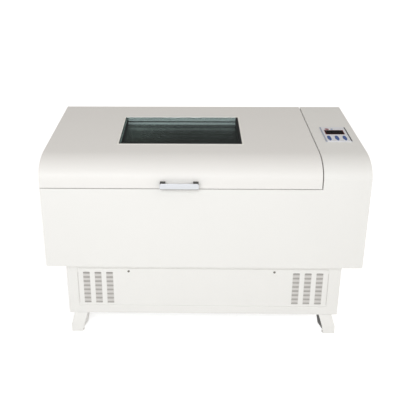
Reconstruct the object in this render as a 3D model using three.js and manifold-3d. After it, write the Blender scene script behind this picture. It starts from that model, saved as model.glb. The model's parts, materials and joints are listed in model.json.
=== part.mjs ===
import * as THREE from 'three';
import { mergeVertices } from 'three/addons/utils/BufferGeometryUtils.js';
import Module from 'manifold-3d';

// A floor-standing incubated shaker: an insulated chest with a lift-up lid, a shaking platform on
// three eccentric cranks, an air circuit behind a baffle, and a refrigeration unit in the base.
// Lengths are in millimetres. While it is drawn, x runs right from the cabinet's middle, y runs
// back from the cabinet's front face and z runs up from the floor.

const wasm = await Module();
wasm.setup();

// Clearances and facets
const seat = 0.3;
const shaftPlay = 0.3;
const cutOver = 6;
const roundFacets = 20;
const mediumFacets = 12;
const smallFacets = 8;
const cornerFacets = 2;
const beltFacets = 12;
const holeFacets = 6;
const clampFacets = 10;

// Cabinet
const cabinetWidth = 1220;
const cabinetDepth = 700;
const footHeight = 77;
const baseHeight = 230;
const bodyHeight = 328;
const seamGap = 4;
const lidHeight = 98;
const consoleWidth = 175.5;
const lidSideGap = 4.5;
const lidProud = 2;
const sheet = 2;
const noseDepth = 127;
const noseDrop = 70;
const noseFullness = 2.2;
const noseSteps = 14;

const halfWidth = cabinetWidth / 2;
const undersideZ = footHeight + baseHeight;
const deckZ = undersideZ + bodyHeight;
const lidBottomZ = deckZ + seamGap;
const topZ = lidBottomZ + lidHeight;
const consoleX = halfWidth - consoleWidth;
const lidLeftX = -halfWidth;
const lidRightX = consoleX - lidSideGap;
const lidMiddleX = (lidLeftX + lidRightX) / 2;
const shellBackY = cabinetDepth - sheet;

// Chamber
const insulationWall = 70;
const linerSheet = 1.2;
const linerFlange = 26;
const chamberCorner = 22;
const gasketInset = 5;
const gasketWidth = 15;

const chamberLeftX = -halfWidth + insulationWall;
const chamberRightX = consoleX - insulationWall;
const chamberMiddleX = (chamberLeftX + chamberRightX) / 2;
const chamberFrontY = insulationWall;
const chamberBackY = cabinetDepth - insulationWall;
const chamberFloorZ = undersideZ + insulationWall;
const linerFlangeTopZ = deckZ + seat + linerSheet;

// Lid, window and handle
const lidFlangeWidth = 12;
const lidInsulation = 36;
const windowSideInset = 280;
const windowBackInset = 155;
const windowShift = -2;
const windowFrontY = 207;
const windowCorner = 3;
const frameBorder = 7;
const frameProud = 0.8;
const frameLedge = 8;
const glassThickness = 4;
const glassRecess = 0.6;
const handleWidth = 144;
const handleShift = -2;
const handleBarHeight = 24;
const handleBarThickness = 4;
const handleBarCorner = 7;
const handleStandoff = 22;
const handlePostWidth = 20;
const handlePostInset = 1.5;
const handleLift = 5;

const lidRimZ = lidBottomZ + sheet + seat;
const lidCeilingZ = topZ - sheet - lidInsulation;
const lidWidth = lidRightX - lidLeftX;
const windowWidth = lidWidth - 2 * windowSideInset;
const windowDepth = cabinetDepth - windowFrontY - windowBackInset;
const windowMiddleX = lidMiddleX + windowShift;

// Lid hinges and lid stays
const hingeSpacingShare = 0.635;
const hingeKnuckles = 3;
const hingeLength = 72;
const hingeLeafHeight = 58;
const hingeLeafThickness = 2;
const hingeKnuckleRadius = 6;
const hingePinRadius = 3;
const hingeKnuckleGap = 0.5;
const lidOpenDegrees = 70;
const stayPivotInset = 103;
const stayPivotDrop = 21;
const stayPinInset = 245;
const stayPinRise = 34;
const stayTurnRatio = 1.5;
const stayArmHalfWidth = 8;
const stayArmThickness = 5;
const stayStudRadius = 5;
const stayStudEnd = 3;
const stayPinRadius = 4;
const stayPinEnd = 1;
const stayTrackOffset = 5;
const stayTrackThickness = 3;
const stayTrackMargin = 8;
const stayTrackGap = 1;
const staySlotSteps = 10;
const staySlotEndSteps = 4;

const hingeSpacing = lidWidth * hingeSpacingShare;
const hingeAxisY = cabinetDepth + seat + hingeKnuckleRadius;
const hingeAxisZ = deckZ + seamGap / 2;
const stayPivot = [cabinetDepth - stayPivotInset, deckZ - stayPivotDrop];
const stayPin = [cabinetDepth - stayPinInset, deckZ + stayPinRise];
const stayArmNear = stayTrackOffset + stayTrackThickness + stayTrackGap;
const stayArmFar = stayArmNear + stayArmThickness;

// Base cabinet, its front panel and the feet
const baseSideInset = 72;
const baseFrontInset = 30;
const baseBackInset = 30;
const baseFlangeWidth = 30;
const accessSideInset = 46;
const accessHeight = 167;
const accessShift = -2;
const accessSillHeight = 38.5;
const accessGap = 1.5;
const accessLipInnerWidth = 9;
const accessLipOuterWidth = 8;
const ventColumns = 3;
const ventRows = 8;
const ventLength = 27;
const ventHeight = 8;
const ventColumnPitch = 45.8;
const ventRowPitch = 19;
const ventEdgeInset = 34;
const ventDrop = 3.5;
const screwShift = 285.5;
const screwCentreShift = -7.5;
const screwDrop = 12;
const screwRadius = 5;
const screwHeadHeight = 1.6;
const footTopWidth = 47;
const footTopInset = 21;
const footBottomWidth = 45;
const footBottomInset = 8;
const footBendHeight = 35;
const footReach = 20;
const footSheet = 3;
const footToeLength = 20;
const footCheekLength = 30;
const footCheekHeight = 19;
const footSplayShare = 0.24;
const footFlangeLength = 100;
const footFlangeHeight = 16;

const halfBase = halfWidth - baseSideInset;
const accessWidth = 2 * (halfBase - accessSideInset);
const baseFrontY = baseFrontInset;
const baseBackY = cabinetDepth - baseBackInset;
const baseMiddleY = (baseFrontY + baseBackY) / 2;
const baseTopZ = undersideZ - seat;
const baseFloorZ = footHeight + sheet;
const accessBottomZ = footHeight + accessSillHeight;
const accessTopZ = accessBottomZ + accessHeight;
const accessLeftX = accessShift - accessWidth / 2;
const accessRightX = accessShift + accessWidth / 2;

// Console: overlay, display, keys and mains inlet
const bezelWidth = 104.5;
const bezelLength = 175.5;
const bezelInset = 41.5;
const bezelFrontY = 235.5;
const bezelThickness = 2;
const bezelCorner = 4;
const bezelLap = 6;
const bezelSkirt = 8;
const bezelSkirtWall = 2;
const bezelGrooveWidth = 5;
const bezelGrooveDepth = 1;
const bezelGrooveInset = 1.5;
const displayWidth = 74.5;
const displayLength = 50;
const displayInset = 13;
const displayFrontOffset = 84.5;
const displayProud = 0.4;
const keyCount = 3;
const keyWidth = 14;
const keyLength = 53;
const keyPitch = 30.5;
const keyInset = 18.5;
const keyFrontOffset = 12.5;
const keyProud = 1.2;
const keyCorner = 6;
const keyPadLap = 2;
const keyPadThickness = 1.5;
const keyTravel = 0.6;
const boardDepth = 16;
const boardThickness = 1.6;
const boardMargin = 12;
const boardPostRadius = 3;
const inletWidth = 34;
const inletHeight = 66;
const inletFlange = 3;
const inletLap = 4;
const inletDepth = 26;
const inletHeightZ = 112;
const inletSocketWidth = 24;
const inletSocketHeight = 17;
const inletSocketDepth = 16;
const inletPinWidth = 2;
const rockerRadius = 12;
const rockerWidth = 17;
const rockerProud = 2;
const rockerDip = 1;
const rockerTilt = 8;

const bezelLeftX = consoleX + bezelInset;
const bezelBackY = bezelFrontY + bezelLength;
const bezelBottomZ = topZ + seat;
const bezelTopZ = bezelBottomZ + bezelThickness;
const consoleMiddleX = consoleX + consoleWidth / 2;

// Shaking drive: cranks, carriage, platform and clamps
const orbitRadius = 13;
const spindleDepthShare = 0.25;
const idlerSpacingShare = 0.625;
const spindleRadius = 14;
const housingRadius = 32;
const housingBelow = 38;
const housingAbove = 13;
const housingHoleGap = 5;
const collarHeight = 9;
const frameThickness = 6;
const frameSideReach = 70;
const frameFlangeLap = 22;
const frameWindowMargin = 70;
const frameRibThickness = 6;
const frameRibHeight = 22;
const webThickness = 13;
const webHubRadius = 24;
const counterweightRadius = 62;
const crankPinRadius = 12;
const crankPinLength = 22;
const carriageThickness = 4;
const carriageHubRadius = 24;
const carriageSideInset = 90;
const carriageEndInset = 50;
const carriageBeamWidth = 60;
const platformSideGap = 52.25;
const platformEndGap = 25;
const platformRim = 28;
const platformCorner = 16;
const platformHoleRadius = 4;
const platformHolePitch = 100;
const clampRows = 2;
const clampsPerRow = 3;
const clampPitchShare = 0.3;
const clampRowPitchShare = 0.45;
const clampRailWidth = 56;
const clampRailOver = 30;
const clampSheet = 2.5;
const clampFloorRadius = 46;
const clampWallRadius = 66;
const clampNeckRadius = 56;
const clampHeight = 82;
const clampGap = 46;
const motorOffset = 230;
const motorRadius = 58;
const motorHeight = 112;
const motorFootHeight = 10;
const motorFootLap = 14;
const motorShaftRadius = 7;
const motorRibs = 12;
const motorRibDepth = 4;
const motorRibWidth = 8;
const drivenPulleyRadius = 80;
const motorPulleyRadius = 30;
const pulleyHubRadius = 22;
const pulleyFlange = 5;
const pulleyFlangeThickness = 3;
const pulleyWindowRadius = 15;
const pulleyWindows = 5;
const beltWidth = 14;
const beltThickness = 4;
const beltSideGap = 1;
const beltGap = 0.6;
const pulleyDrop = 14;

const baffleGap = 70;
const baffleY = chamberBackY - baffleGap;
const shakerMiddleY = (chamberFrontY + baffleY) / 2;
const platformWidth = chamberRightX - chamberLeftX - 2 * platformSideGap;
const platformDepth = baffleY - chamberFrontY - 2 * platformEndGap;
const carriageWidth = platformWidth - 2 * carriageSideInset;
const carriageDepth = platformDepth - 2 * carriageEndInset;
const clampPitch = platformWidth * clampPitchShare;
const clampRowPitch = platformDepth * clampRowPitchShare;
const idlerSpacing = platformWidth * idlerSpacingShare;
const frameWidth = idlerSpacing + 2 * frameSideReach;
const driveSpindleY = shakerMiddleY + platformDepth * spindleDepthShare;
const idlerSpindleY = shakerMiddleY - platformDepth * spindleDepthShare;
const driveFrameTopZ = baseTopZ - sheet - seat;
const driveFrameBottomZ = driveFrameTopZ - frameThickness;
const housingBottomZ = driveFrameBottomZ - housingBelow;
const housingTopZ = chamberFloorZ + housingAbove;
const housingHoleRadius = housingRadius + housingHoleGap;
const webBottomZ = housingTopZ + seat;
const webTopZ = webBottomZ + webThickness;
const carriageHubBottomZ = webTopZ + seat;
const crankPinTopZ = webTopZ + crankPinLength;
const carriageTopZ = crankPinTopZ + seat;
const platformBottomZ = carriageTopZ + seat;
const platformTopZ = platformBottomZ + sheet;
const pulleyHeight = beltWidth + 2 * (beltSideGap + pulleyFlangeThickness);
const pulleyTopZ = housingBottomZ - pulleyDrop;
const pulleyBottomZ = pulleyTopZ - pulleyHeight;
const motorX = chamberMiddleX + motorOffset;

// Air circuit: baffle, fan, coil, heater and probe
const baffleSideGap = 50;
const baffleTopGap = 40;
const baffleFootGap = 24;
const baffleSlotShare = 0.7;
const baffleSlotHeight = 7;
const baffleSlotRows = 2;
const baffleSlotRowPitch = 18;
const baffleSlotsPerRow = 8;
const fanRadius = 58;
const fanHubRadius = 17;
const fanDepth = 18;
const fanBlades = 6;
const fanBladeThickness = 2;
const fanBladeAngle = 32;
const fanShaftRadius = 4;
const fanMotorRadius = 34;
const fanGap = 5;
const fanMotorGap = 3;
const grilleSlots = 10;
const grilleInnerRadius = 16;
const grilleSlotWidth = 7;
const probeRadius = 3;
const probeLength = 44;
const probeDrop = 40;
const probeShiftShare = 0.235;
const coilWidthShare = 0.3;
const coilHeight = 130;
const coilDepth = 42;
const coilFins = 12;
const coilFinThickness = 6;
const coilCore = 16;
const coilTubeRadius = 5;
const coilTubeRows = 2;
const coilBendRadius = 18;
const coilShiftShare = 0.285;
const heaterRadius = 5;
const heaterLengthShare = 0.26;
const heaterRise = 54;
const heaterShiftShare = 0.16;
const heaterPlate = 26;
const heaterSteps = 16;
const heaterSides = 3;

const airMiddleZ = (chamberFloorZ + baffleFootGap + deckZ - baffleTopGap) / 2;
const baffleWidth = chamberRightX - chamberLeftX - 2 * baffleSideGap;
const baffleSlotPitch = baffleWidth / (baffleSlotsPerRow + 1);
const baffleSlotLength = baffleSlotPitch * baffleSlotShare;
const probeShift = baffleWidth * probeShiftShare;
const coilWidth = baffleWidth * coilWidthShare;
const coilShift = baffleWidth * coilShiftShare;
const heaterLength = baffleWidth * heaterLengthShare;
const heaterShift = baffleWidth * heaterShiftShare;

// Refrigeration unit in the base
const condenserWidth = 230;
const condenserHeight = 165;
const condenserDepth = 48;
const condenserInset = 44;
const condenserFrontGap = 26;
const condenserLift = 16;
const condenserFanRadius = 74;
const condenserFanGap = 8;
const condenserFanDepth = 24;
const condenserMotorRadius = 30;
const condenserMotorLength = 44;
const condenserBracketWidth = 46;
const condenserBracketSheet = 3;
const compressorRadius = 74;
const compressorHeight = 168;
const compressorSideInset = 158;
const compressorBackInset = 250;
const compressorDomeHeight = 34;
const compressorSeamWidth = 4;
const compressorSeamHeight = 8;
const compressorFootThickness = 8;
const compressorFootWidth = 168;
const compressorFootDepth = 44;
const serviceSideInset = 258;
const serviceHeight = 150;
const serviceSillHeight = 40;
const serviceLap = 14;
const serviceSlots = 8;
const serviceSlotRows = 5;
const serviceSlotShare = 0.64;
const serviceSlotHeight = 6;
const serviceSlotRowPitch = 24;
const pipeHoleRadius = 18;
const rearSlotLength = 90;
const rearSlotHeight = 6;
const rearSlotRows = 6;
const rearSlotPitch = 16;
const rearSlotDrop = 60;

const compressorX = -halfBase + compressorSideInset;
const compressorY = baseBackY - compressorBackInset;
const serviceWidth = 2 * (halfBase - serviceSideInset);
const serviceSlotPitch = serviceWidth / (serviceSlots + 1);
const serviceSlotLength = serviceSlotPitch * serviceSlotShare;

// Materials
function finish(color, roughness, metalness) {
  return new THREE.MeshStandardMaterial({ color, roughness, metalness });
}

const paint = finish(0xf0efec, 0.45, 0.0);
const lidPaint = finish(0xeeedea, 0.42, 0.0);
const stainless = finish(0xbfc1c2, 0.3, 1.0);
const chrome = finish(0xd8d9da, 0.12, 1.0);
const darkPlastic = finish(0x35332f, 0.5, 0.0);
const blackPlastic = finish(0x141415, 0.35, 0.0);
const palePlastic = finish(0xcdd1d2, 0.5, 0.0);
const trimPlastic = finish(0xdedcd7, 0.5, 0.0);
const keyPlastic = finish(0x3f5f9c, 0.45, 0.0);
const rubber = finish(0x2b2b2c, 0.85, 0.0);
const castIron = finish(0x4a4d50, 0.6, 0.8);
const machinedSteel = finish(0x9a9d9f, 0.35, 1.0);
const aluminium = finish(0xb9bcbe, 0.4, 1.0);
const copperBlack = finish(0x1d1e20, 0.5, 0.2);
const foam = finish(0xe3d9ac, 0.9, 0.0);
const boardGreen = finish(0x1f5a3a, 0.6, 0.0);
const glass = finish(0x3a403e, 0.05, 0.0);

// Solids: each helper gives a closed geometry, and join, cut and overlap work on them
function toSolid(shape) {
  if (shape instanceof wasm.Manifold) return shape;
  const bare = new THREE.BufferGeometry();
  bare.setAttribute('position', shape.getAttribute('position'));
  bare.setIndex(shape.getIndex());
  const merged = mergeVertices(bare);
  const position = merged.getAttribute('position');
  const corners = merged.getIndex().array;
  const triangles = [];
  let volume = 0;
  const a = new THREE.Vector3();
  const b = new THREE.Vector3();
  const c = new THREE.Vector3();
  for (let i = 0; i < corners.length; i += 3) {
    const [p, q, r] = [corners[i], corners[i + 1], corners[i + 2]];
    if (p === q || q === r || r === p) continue;
    triangles.push(p, q, r);
    a.fromBufferAttribute(position, p);
    b.fromBufferAttribute(position, q);
    c.fromBufferAttribute(position, r);
    volume += a.dot(b.cross(c));
  }
  if (volume < 0) triangles.reverse();
  const mesh = new wasm.Mesh({
    numProp: 3,
    vertProperties: new Float32Array(position.array),
    triVerts: new Uint32Array(triangles),
  });
  return new wasm.Manifold(mesh);
}

function toGeometry(solid) {
  const mesh = solid.getMesh();
  const geometry = new THREE.BufferGeometry();
  geometry.setAttribute('position', new THREE.BufferAttribute(mesh.vertProperties, 3));
  geometry.setIndex(new THREE.BufferAttribute(mesh.triVerts, 1));
  geometry.computeVertexNormals();
  return geometry;
}

function join(...shapes) {
  return shapes.map(toSolid).reduce((whole, piece) => whole.add(piece));
}

function cut(shape, ...tools) {
  return toSolid(shape).subtract(join(...tools));
}

function overlap(shape, other) {
  return toSolid(shape).intersect(toSolid(other));
}

function box(x0, x1, y0, y1, z0, z1) {
  const geometry = new THREE.BoxGeometry(x1 - x0, y1 - y0, z1 - z0);
  return geometry.translate((x0 + x1) / 2, (y0 + y1) / 2, (z0 + z1) / 2);
}

function extrude(outline, length) {
  return new THREE.ExtrudeGeometry(outline, {
    depth: length,
    bevelEnabled: false,
    curveSegments: cornerFacets,
  });
}

// An outline drawn in y and z, run along x
function prismX(outline, x0, x1) {
  const basis = new THREE.Matrix4().makeBasis(
    new THREE.Vector3(0, 1, 0), new THREE.Vector3(0, 0, 1), new THREE.Vector3(1, 0, 0));
  return extrude(outline, x1 - x0).applyMatrix4(basis).translate(x0, 0, 0);
}

// An outline drawn in x and z, run along y
function prismY(outline, y0, y1) {
  return extrude(outline, y1 - y0).rotateX(Math.PI / 2).translate(0, y1, 0);
}

// An outline drawn in x and y, run along z
function prismZ(outline, z0, z1) {
  return extrude(outline, z1 - z0).translate(0, 0, z0);
}

function cylinderX(radius, x0, x1, y, z, facets = mediumFacets) {
  const geometry = new THREE.CylinderGeometry(radius, radius, x1 - x0, facets);
  return geometry.rotateZ(Math.PI / 2).translate((x0 + x1) / 2, y, z);
}

function cylinderY(radius, x, y0, y1, z, facets = mediumFacets) {
  const geometry = new THREE.CylinderGeometry(radius, radius, y1 - y0, facets);
  return geometry.translate(x, (y0 + y1) / 2, z);
}

function cylinderZ(radius, x, y, z0, z1, facets = mediumFacets) {
  const geometry = new THREE.CylinderGeometry(radius, radius, z1 - z0, facets);
  return geometry.rotateX(Math.PI / 2).translate(x, y, (z0 + z1) / 2);
}

// A profile of [radius, height] points turned about z
function revolveZ(profile, facets = roundFacets) {
  const points = profile.map(([radius, height]) => new THREE.Vector2(radius, height));
  return new THREE.LatheGeometry(points, facets).rotateX(Math.PI / 2);
}

function polygon(points) {
  return new THREE.Shape(points.map(([u, v]) => new THREE.Vector2(u, v)));
}

function roundedOutline(u0, u1, v0, v1, radius, Kind = THREE.Shape) {
  const outline = new Kind();
  outline.moveTo(u0 + radius, v0);
  outline.absarc(u1 - radius, v0 + radius, radius, -Math.PI / 2, 0, false);
  outline.absarc(u1 - radius, v1 - radius, radius, 0, Math.PI / 2, false);
  outline.absarc(u0 + radius, v1 - radius, radius, Math.PI / 2, Math.PI, false);
  outline.absarc(u0 + radius, v0 + radius, radius, Math.PI, 1.5 * Math.PI, false);
  return outline;
}

// A slot with round ends, lying along u
function slotHole(u, v, length, height) {
  const reach = (length - height) / 2;
  const radius = height / 2;
  const hole = new THREE.Path();
  hole.absarc(u + reach, v, radius, -Math.PI / 2, Math.PI / 2, false);
  hole.absarc(u - reach, v, radius, Math.PI / 2, 1.5 * Math.PI, false);
  return hole;
}

// The tool for a square-ended slot through a panel that stands in the x-z plane
function slotTool(x, z, length, height, y0, y1) {
  return box(
    x - length / 2, x + length / 2, y0 - cutOver, y1 + cutOver, z - height / 2, z + height / 2);
}

const machine = new THREE.Group();

function addPart(name, shape, material, parent = machine) {
  const mesh = new THREE.Mesh(toGeometry(toSolid(shape)), material);
  mesh.name = name;
  parent.add(mesh);
  return mesh;
}

// Cabinet shell: body box and console, one welded sheet-metal shell open at the back
function noseOutline(frontY, bottomZ, backY, inset) {
  const middleY = frontY + noseDepth;
  const middleZ = topZ - noseDrop;
  const points = [[backY, bottomZ], [backY, topZ - inset]];
  for (let step = 0; step <= noseSteps; step += 1) {
    const angle = (step / noseSteps) * Math.PI / 2;
    const along = Math.sin(angle) ** (2 / noseFullness);
    const up = Math.max(Math.cos(angle), 0) ** (2 / noseFullness);
    points.push([middleY - (noseDepth - inset) * along, middleZ + (noseDrop - inset) * up]);
  }
  points.push([frontY + inset, bottomZ]);
  return polygon(points);
}

function chamberOutline(offset, Kind = THREE.Shape) {
  return roundedOutline(
    chamberLeftX - offset, chamberRightX + offset, chamberFrontY - offset, chamberBackY + offset,
    chamberCorner + offset, Kind);
}

function spindlePlaces() {
  return [
    [chamberMiddleX, driveSpindleY],
    [chamberMiddleX - idlerSpacing / 2, idlerSpindleY],
    [chamberMiddleX + idlerSpacing / 2, idlerSpindleY],
  ];
}

function spindleHoles(radius, z0, z1, facets = mediumFacets) {
  return spindlePlaces().map(([x, y]) => cylinderZ(radius, x, y, z0, z1, facets));
}

function bezelCutout(inset) {
  return roundedOutline(
    bezelLeftX + inset, bezelLeftX + bezelWidth - inset, bezelFrontY + inset, bezelBackY - inset,
    bezelCorner);
}

function cabinetShell() {
  const outside = join(
    box(-halfWidth, halfWidth, 0, shellBackY, undersideZ, deckZ),
    prismX(noseOutline(0, undersideZ, shellBackY, 0), consoleX, halfWidth));
  const bodyCavity = box(
    -halfWidth + sheet, consoleX, sheet, shellBackY + cutOver, undersideZ - cutOver, deckZ - sheet);
  const consoleCavity = prismX(
    noseOutline(0, undersideZ - cutOver, shellBackY + cutOver, sheet),
    consoleX + sheet, halfWidth - sheet);
  const panSpace = box(
    -halfWidth + sheet, halfWidth - sheet, sheet, shellBackY + cutOver,
    undersideZ - cutOver, undersideZ + sheet + seat);
  const mouth = prismZ(chamberOutline(linerSheet + seat), deckZ - sheet - cutOver, deckZ + cutOver);
  const panelHole = prismZ(bezelCutout(bezelLap), topZ - cutOver, topZ + cutOver);
  return cut(outside, bodyCavity, consoleCavity, panSpace, mouth, panelHole);
}

function bottomPan() {
  const inset = sheet + seat;
  const pan = box(-halfWidth + inset, halfWidth - inset, inset, shellBackY, undersideZ, undersideZ + sheet);
  const z0 = undersideZ - cutOver;
  const z1 = undersideZ + sheet + cutOver;
  return cut(
    pan,
    ...spindleHoles(housingHoleRadius, z0, z1),
    cylinderZ(pipeHoleRadius, chamberMiddleX - coilShift, baffleY, z0, z1),
    cylinderZ(pipeHoleRadius, consoleMiddleX, shakerMiddleY, z0, z1));
}

function rearPanel() {
  const outline = polygon([
    [-halfWidth, undersideZ], [halfWidth, undersideZ], [halfWidth, topZ],
    [consoleX, topZ], [consoleX, deckZ], [-halfWidth, deckZ],
  ]);
  const inletZ = undersideZ + inletHeightZ;
  const holeWidth = inletWidth - 2 * inletLap + 2 * seat;
  const holeHeight = inletHeight - 2 * inletLap + 2 * seat;
  outline.holes.push(roundedOutline(
    consoleMiddleX - holeWidth / 2, consoleMiddleX + holeWidth / 2,
    inletZ - holeHeight / 2, inletZ + holeHeight / 2, seat, THREE.Path));
  const slots = [];
  for (let row = 0; row < rearSlotRows; row += 1) {
    const z = topZ - rearSlotDrop - row * rearSlotPitch;
    slots.push(slotTool(consoleMiddleX, z, rearSlotLength, rearSlotHeight, shellBackY, cabinetDepth));
  }
  return cut(prismY(outline, shellBackY + seat, cabinetDepth), ...slots);
}

function insulationTub() {
  const inset = sheet + seat;
  const block = box(
    -halfWidth + inset, consoleX - seat, inset, shellBackY, undersideZ + inset, deckZ - inset);
  const hollow = prismZ(
    chamberOutline(linerSheet + seat), chamberFloorZ - linerSheet - seat, deckZ + cutOver);
  return cut(block, hollow, ...spindleHoles(housingHoleRadius, undersideZ - cutOver, deckZ));
}

// Chamber liner: stainless tub with a mouth flange, spill collars and a stud for each lid stay
function sideWallX(side) {
  return side < 0 ? chamberLeftX : chamberRightX;
}

// The tool or bar that lies between two distances from a chamber side wall, along x
function wallSpan(side, near, far) {
  const wallX = sideWallX(side);
  return [wallX - side * near, wallX - side * far].sort((a, b) => a - b);
}

function stayStud(side) {
  const [x0, x1] = wallSpan(side, -linerSheet / 2, stayArmFar + stayStudEnd);
  return cylinderX(stayStudRadius, x0, x1, ...stayPivot);
}

function chamberLiner() {
  const floorZ = chamberFloorZ - linerSheet;
  const tub = join(
    prismZ(chamberOutline(linerSheet), floorZ, linerFlangeTopZ),
    prismZ(chamberOutline(linerFlange), deckZ + seat, linerFlangeTopZ));
  const hollow = prismZ(chamberOutline(0), chamberFloorZ, linerFlangeTopZ + cutOver);
  const collarTopZ = chamberFloorZ + collarHeight;
  const collars = spindleHoles(
    housingHoleRadius + 2 * linerSheet, chamberFloorZ - linerSheet / 2, collarTopZ);
  const fitted = join(cut(tub, hollow), ...collars, stayStud(-1), stayStud(1));
  return cut(fitted, ...spindleHoles(housingHoleRadius, floorZ - cutOver, collarTopZ + cutOver));
}

function mouthGasket() {
  const outline = chamberOutline(gasketInset + gasketWidth);
  outline.holes.push(chamberOutline(gasketInset, THREE.Path));
  return prismZ(outline, linerFlangeTopZ + seat, lidRimZ - seat);
}

// Air circuit behind the baffle
function rearBaffle() {
  const leftX = chamberLeftX + baffleSideGap;
  const rightX = chamberRightX - baffleSideGap;
  const bottomZ = chamberFloorZ + baffleFootGap;
  const roofZ = deckZ - baffleTopGap;
  const rearY = chamberBackY - seat;
  const cover = cut(
    box(leftX, rightX, baffleY, rearY, bottomZ, roofZ),
    box(leftX + linerSheet, rightX - linerSheet, baffleY + linerSheet, rearY + cutOver,
      bottomZ - cutOver, roofZ - linerSheet));
  const openings = [];
  for (let slot = 0; slot < grilleSlots; slot += 1) {
    const radial = box(
      grilleInnerRadius, fanRadius, baffleY - cutOver, baffleY + cutOver,
      -grilleSlotWidth / 2, grilleSlotWidth / 2);
    radial.rotateY(slot * 2 * Math.PI / grilleSlots);
    openings.push(radial.translate(chamberMiddleX, 0, airMiddleZ));
  }
  for (let row = 0; row < baffleSlotRows; row += 1) {
    for (let column = 0; column < baffleSlotsPerRow; column += 1) {
      const x = chamberMiddleX + (column - (baffleSlotsPerRow - 1) / 2) * baffleSlotPitch;
      const z = roofZ - (row + 1) * baffleSlotRowPitch;
      openings.push(box(
        x - baffleSlotLength / 2, x + baffleSlotLength / 2, baffleY - cutOver, baffleY + cutOver,
        z - baffleSlotHeight / 2, z + baffleSlotHeight / 2));
    }
  }
  const probe = cylinderY(
    probeRadius, chamberMiddleX + probeShift, baffleY - probeLength, baffleY + linerSheet / 2,
    airMiddleZ + probeDrop, smallFacets);
  return join(cut(cover, ...openings), probe);
}

// A finned coil standing in the x-z plane, with its return bends at both ends
function finnedCoil(width, depth, height, frontY, middleX, bottomZ) {
  const backY = frontY + depth;
  const pitch = (width - coilFinThickness) / (coilFins - 1);
  const firstX = middleX - width / 2;
  const coreFront = frontY + (depth - coilCore) / 2;
  const coreBack = coreFront + coilCore;
  const points = [];
  for (let fin = 0; fin < coilFins; fin += 1) {
    const x = firstX + fin * pitch;
    points.push([x, coreFront], [x, frontY]);
    points.push([x + coilFinThickness, frontY], [x + coilFinThickness, coreFront]);
  }
  for (let fin = coilFins - 1; fin >= 0; fin -= 1) {
    const x = firstX + fin * pitch;
    points.push([x + coilFinThickness, coreBack], [x + coilFinThickness, backY]);
    points.push([x, backY], [x, coreBack]);
  }
  const block = prismZ(polygon(points), bottomZ, bottomZ + height);
  const bends = [];
  for (const side of [-1, 1]) {
    for (let row = 0; row < coilTubeRows; row += 1) {
      const z = bottomZ + (row + 1) * height / (coilTubeRows + 1);
      const bend = new THREE.TorusGeometry(coilBendRadius, coilTubeRadius, holeFacets, smallFacets);
      bend.rotateX(Math.PI / 2);
      bends.push(bend.translate(middleX + side * (width - coilFinThickness) / 2, frontY + depth / 2, z));
    }
  }
  return join(block, ...bends);
}

function evaporatorCoil() {
  return finnedCoil(
    coilWidth, coilDepth, coilHeight, chamberBackY - seat - coilDepth,
    chamberMiddleX - coilShift, airMiddleZ - coilHeight / 2);
}

function heaterElement() {
  const startX = chamberMiddleX + heaterShift;
  const y = (baffleY + chamberBackY) / 2;
  const bend = heaterRise / 2;
  const points = [new THREE.Vector3(startX, y, airMiddleZ - bend)];
  for (let step = 0; step <= smallFacets; step += 1) {
    const angle = -Math.PI / 2 + (step / smallFacets) * Math.PI;
    const x = startX + heaterLength + bend * Math.cos(angle);
    points.push(new THREE.Vector3(x, y, airMiddleZ + bend * Math.sin(angle)));
  }
  points.push(new THREE.Vector3(startX, y, airMiddleZ + bend));
  const section = new THREE.Shape().absarc(0, 0, heaterRadius, 0, 2 * Math.PI, false);
  const rod = new THREE.ExtrudeGeometry(section, {
    steps: heaterSteps,
    curveSegments: heaterSides,
    extrudePath: new THREE.CatmullRomCurve3(points),
  });
  const plate = box(
    startX - linerSheet, startX + linerSheet, y - heaterPlate / 2, chamberBackY - seat,
    airMiddleZ - bend - heaterPlate / 2, airMiddleZ + bend + heaterPlate / 2);
  return join(rod, plate);
}

// An axial fan whose hub starts at frontY, on a shaft along y
function axialFan(radius, depth, x, frontY, z) {
  const hub = cylinderY(fanHubRadius, 0, frontY, frontY + depth, 0);
  const blades = [];
  for (let blade = 0; blade < fanBlades; blade += 1) {
    const chord = 2 * (radius - fanHubRadius) * Math.sin(Math.PI / fanBlades);
    const plate = new THREE.BoxGeometry(radius - fanHubRadius / 2, fanBladeThickness, chord);
    plate.rotateX(fanBladeAngle * Math.PI / 180);
    plate.translate((radius + fanHubRadius / 2) / 2, frontY + depth / 2, 0);
    blades.push(plate.rotateY(blade * 2 * Math.PI / fanBlades));
  }
  const sweep = cylinderY(radius, 0, frontY, frontY + depth, 0, roundFacets);
  const wheel = overlap(join(hub, ...blades), sweep);
  const bore = cylinderY(
    fanShaftRadius + shaftPlay, 0, frontY - cutOver, frontY + depth + cutOver, 0, clampFacets);
  return cut(wheel, bore).translate([x, 0, z]);
}

const chamberFanFrontY = baffleY + linerSheet + fanGap;
const chamberFanMotorY = chamberFanFrontY + fanDepth + fanMotorGap;

function chamberFanMotor() {
  return join(
    cylinderY(
      fanMotorRadius, chamberMiddleX, chamberFanMotorY, chamberBackY - seat, airMiddleZ, roundFacets),
    cylinderY(fanShaftRadius, chamberMiddleX, chamberFanFrontY, chamberFanMotorY + fanGap, airMiddleZ));
}

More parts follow.
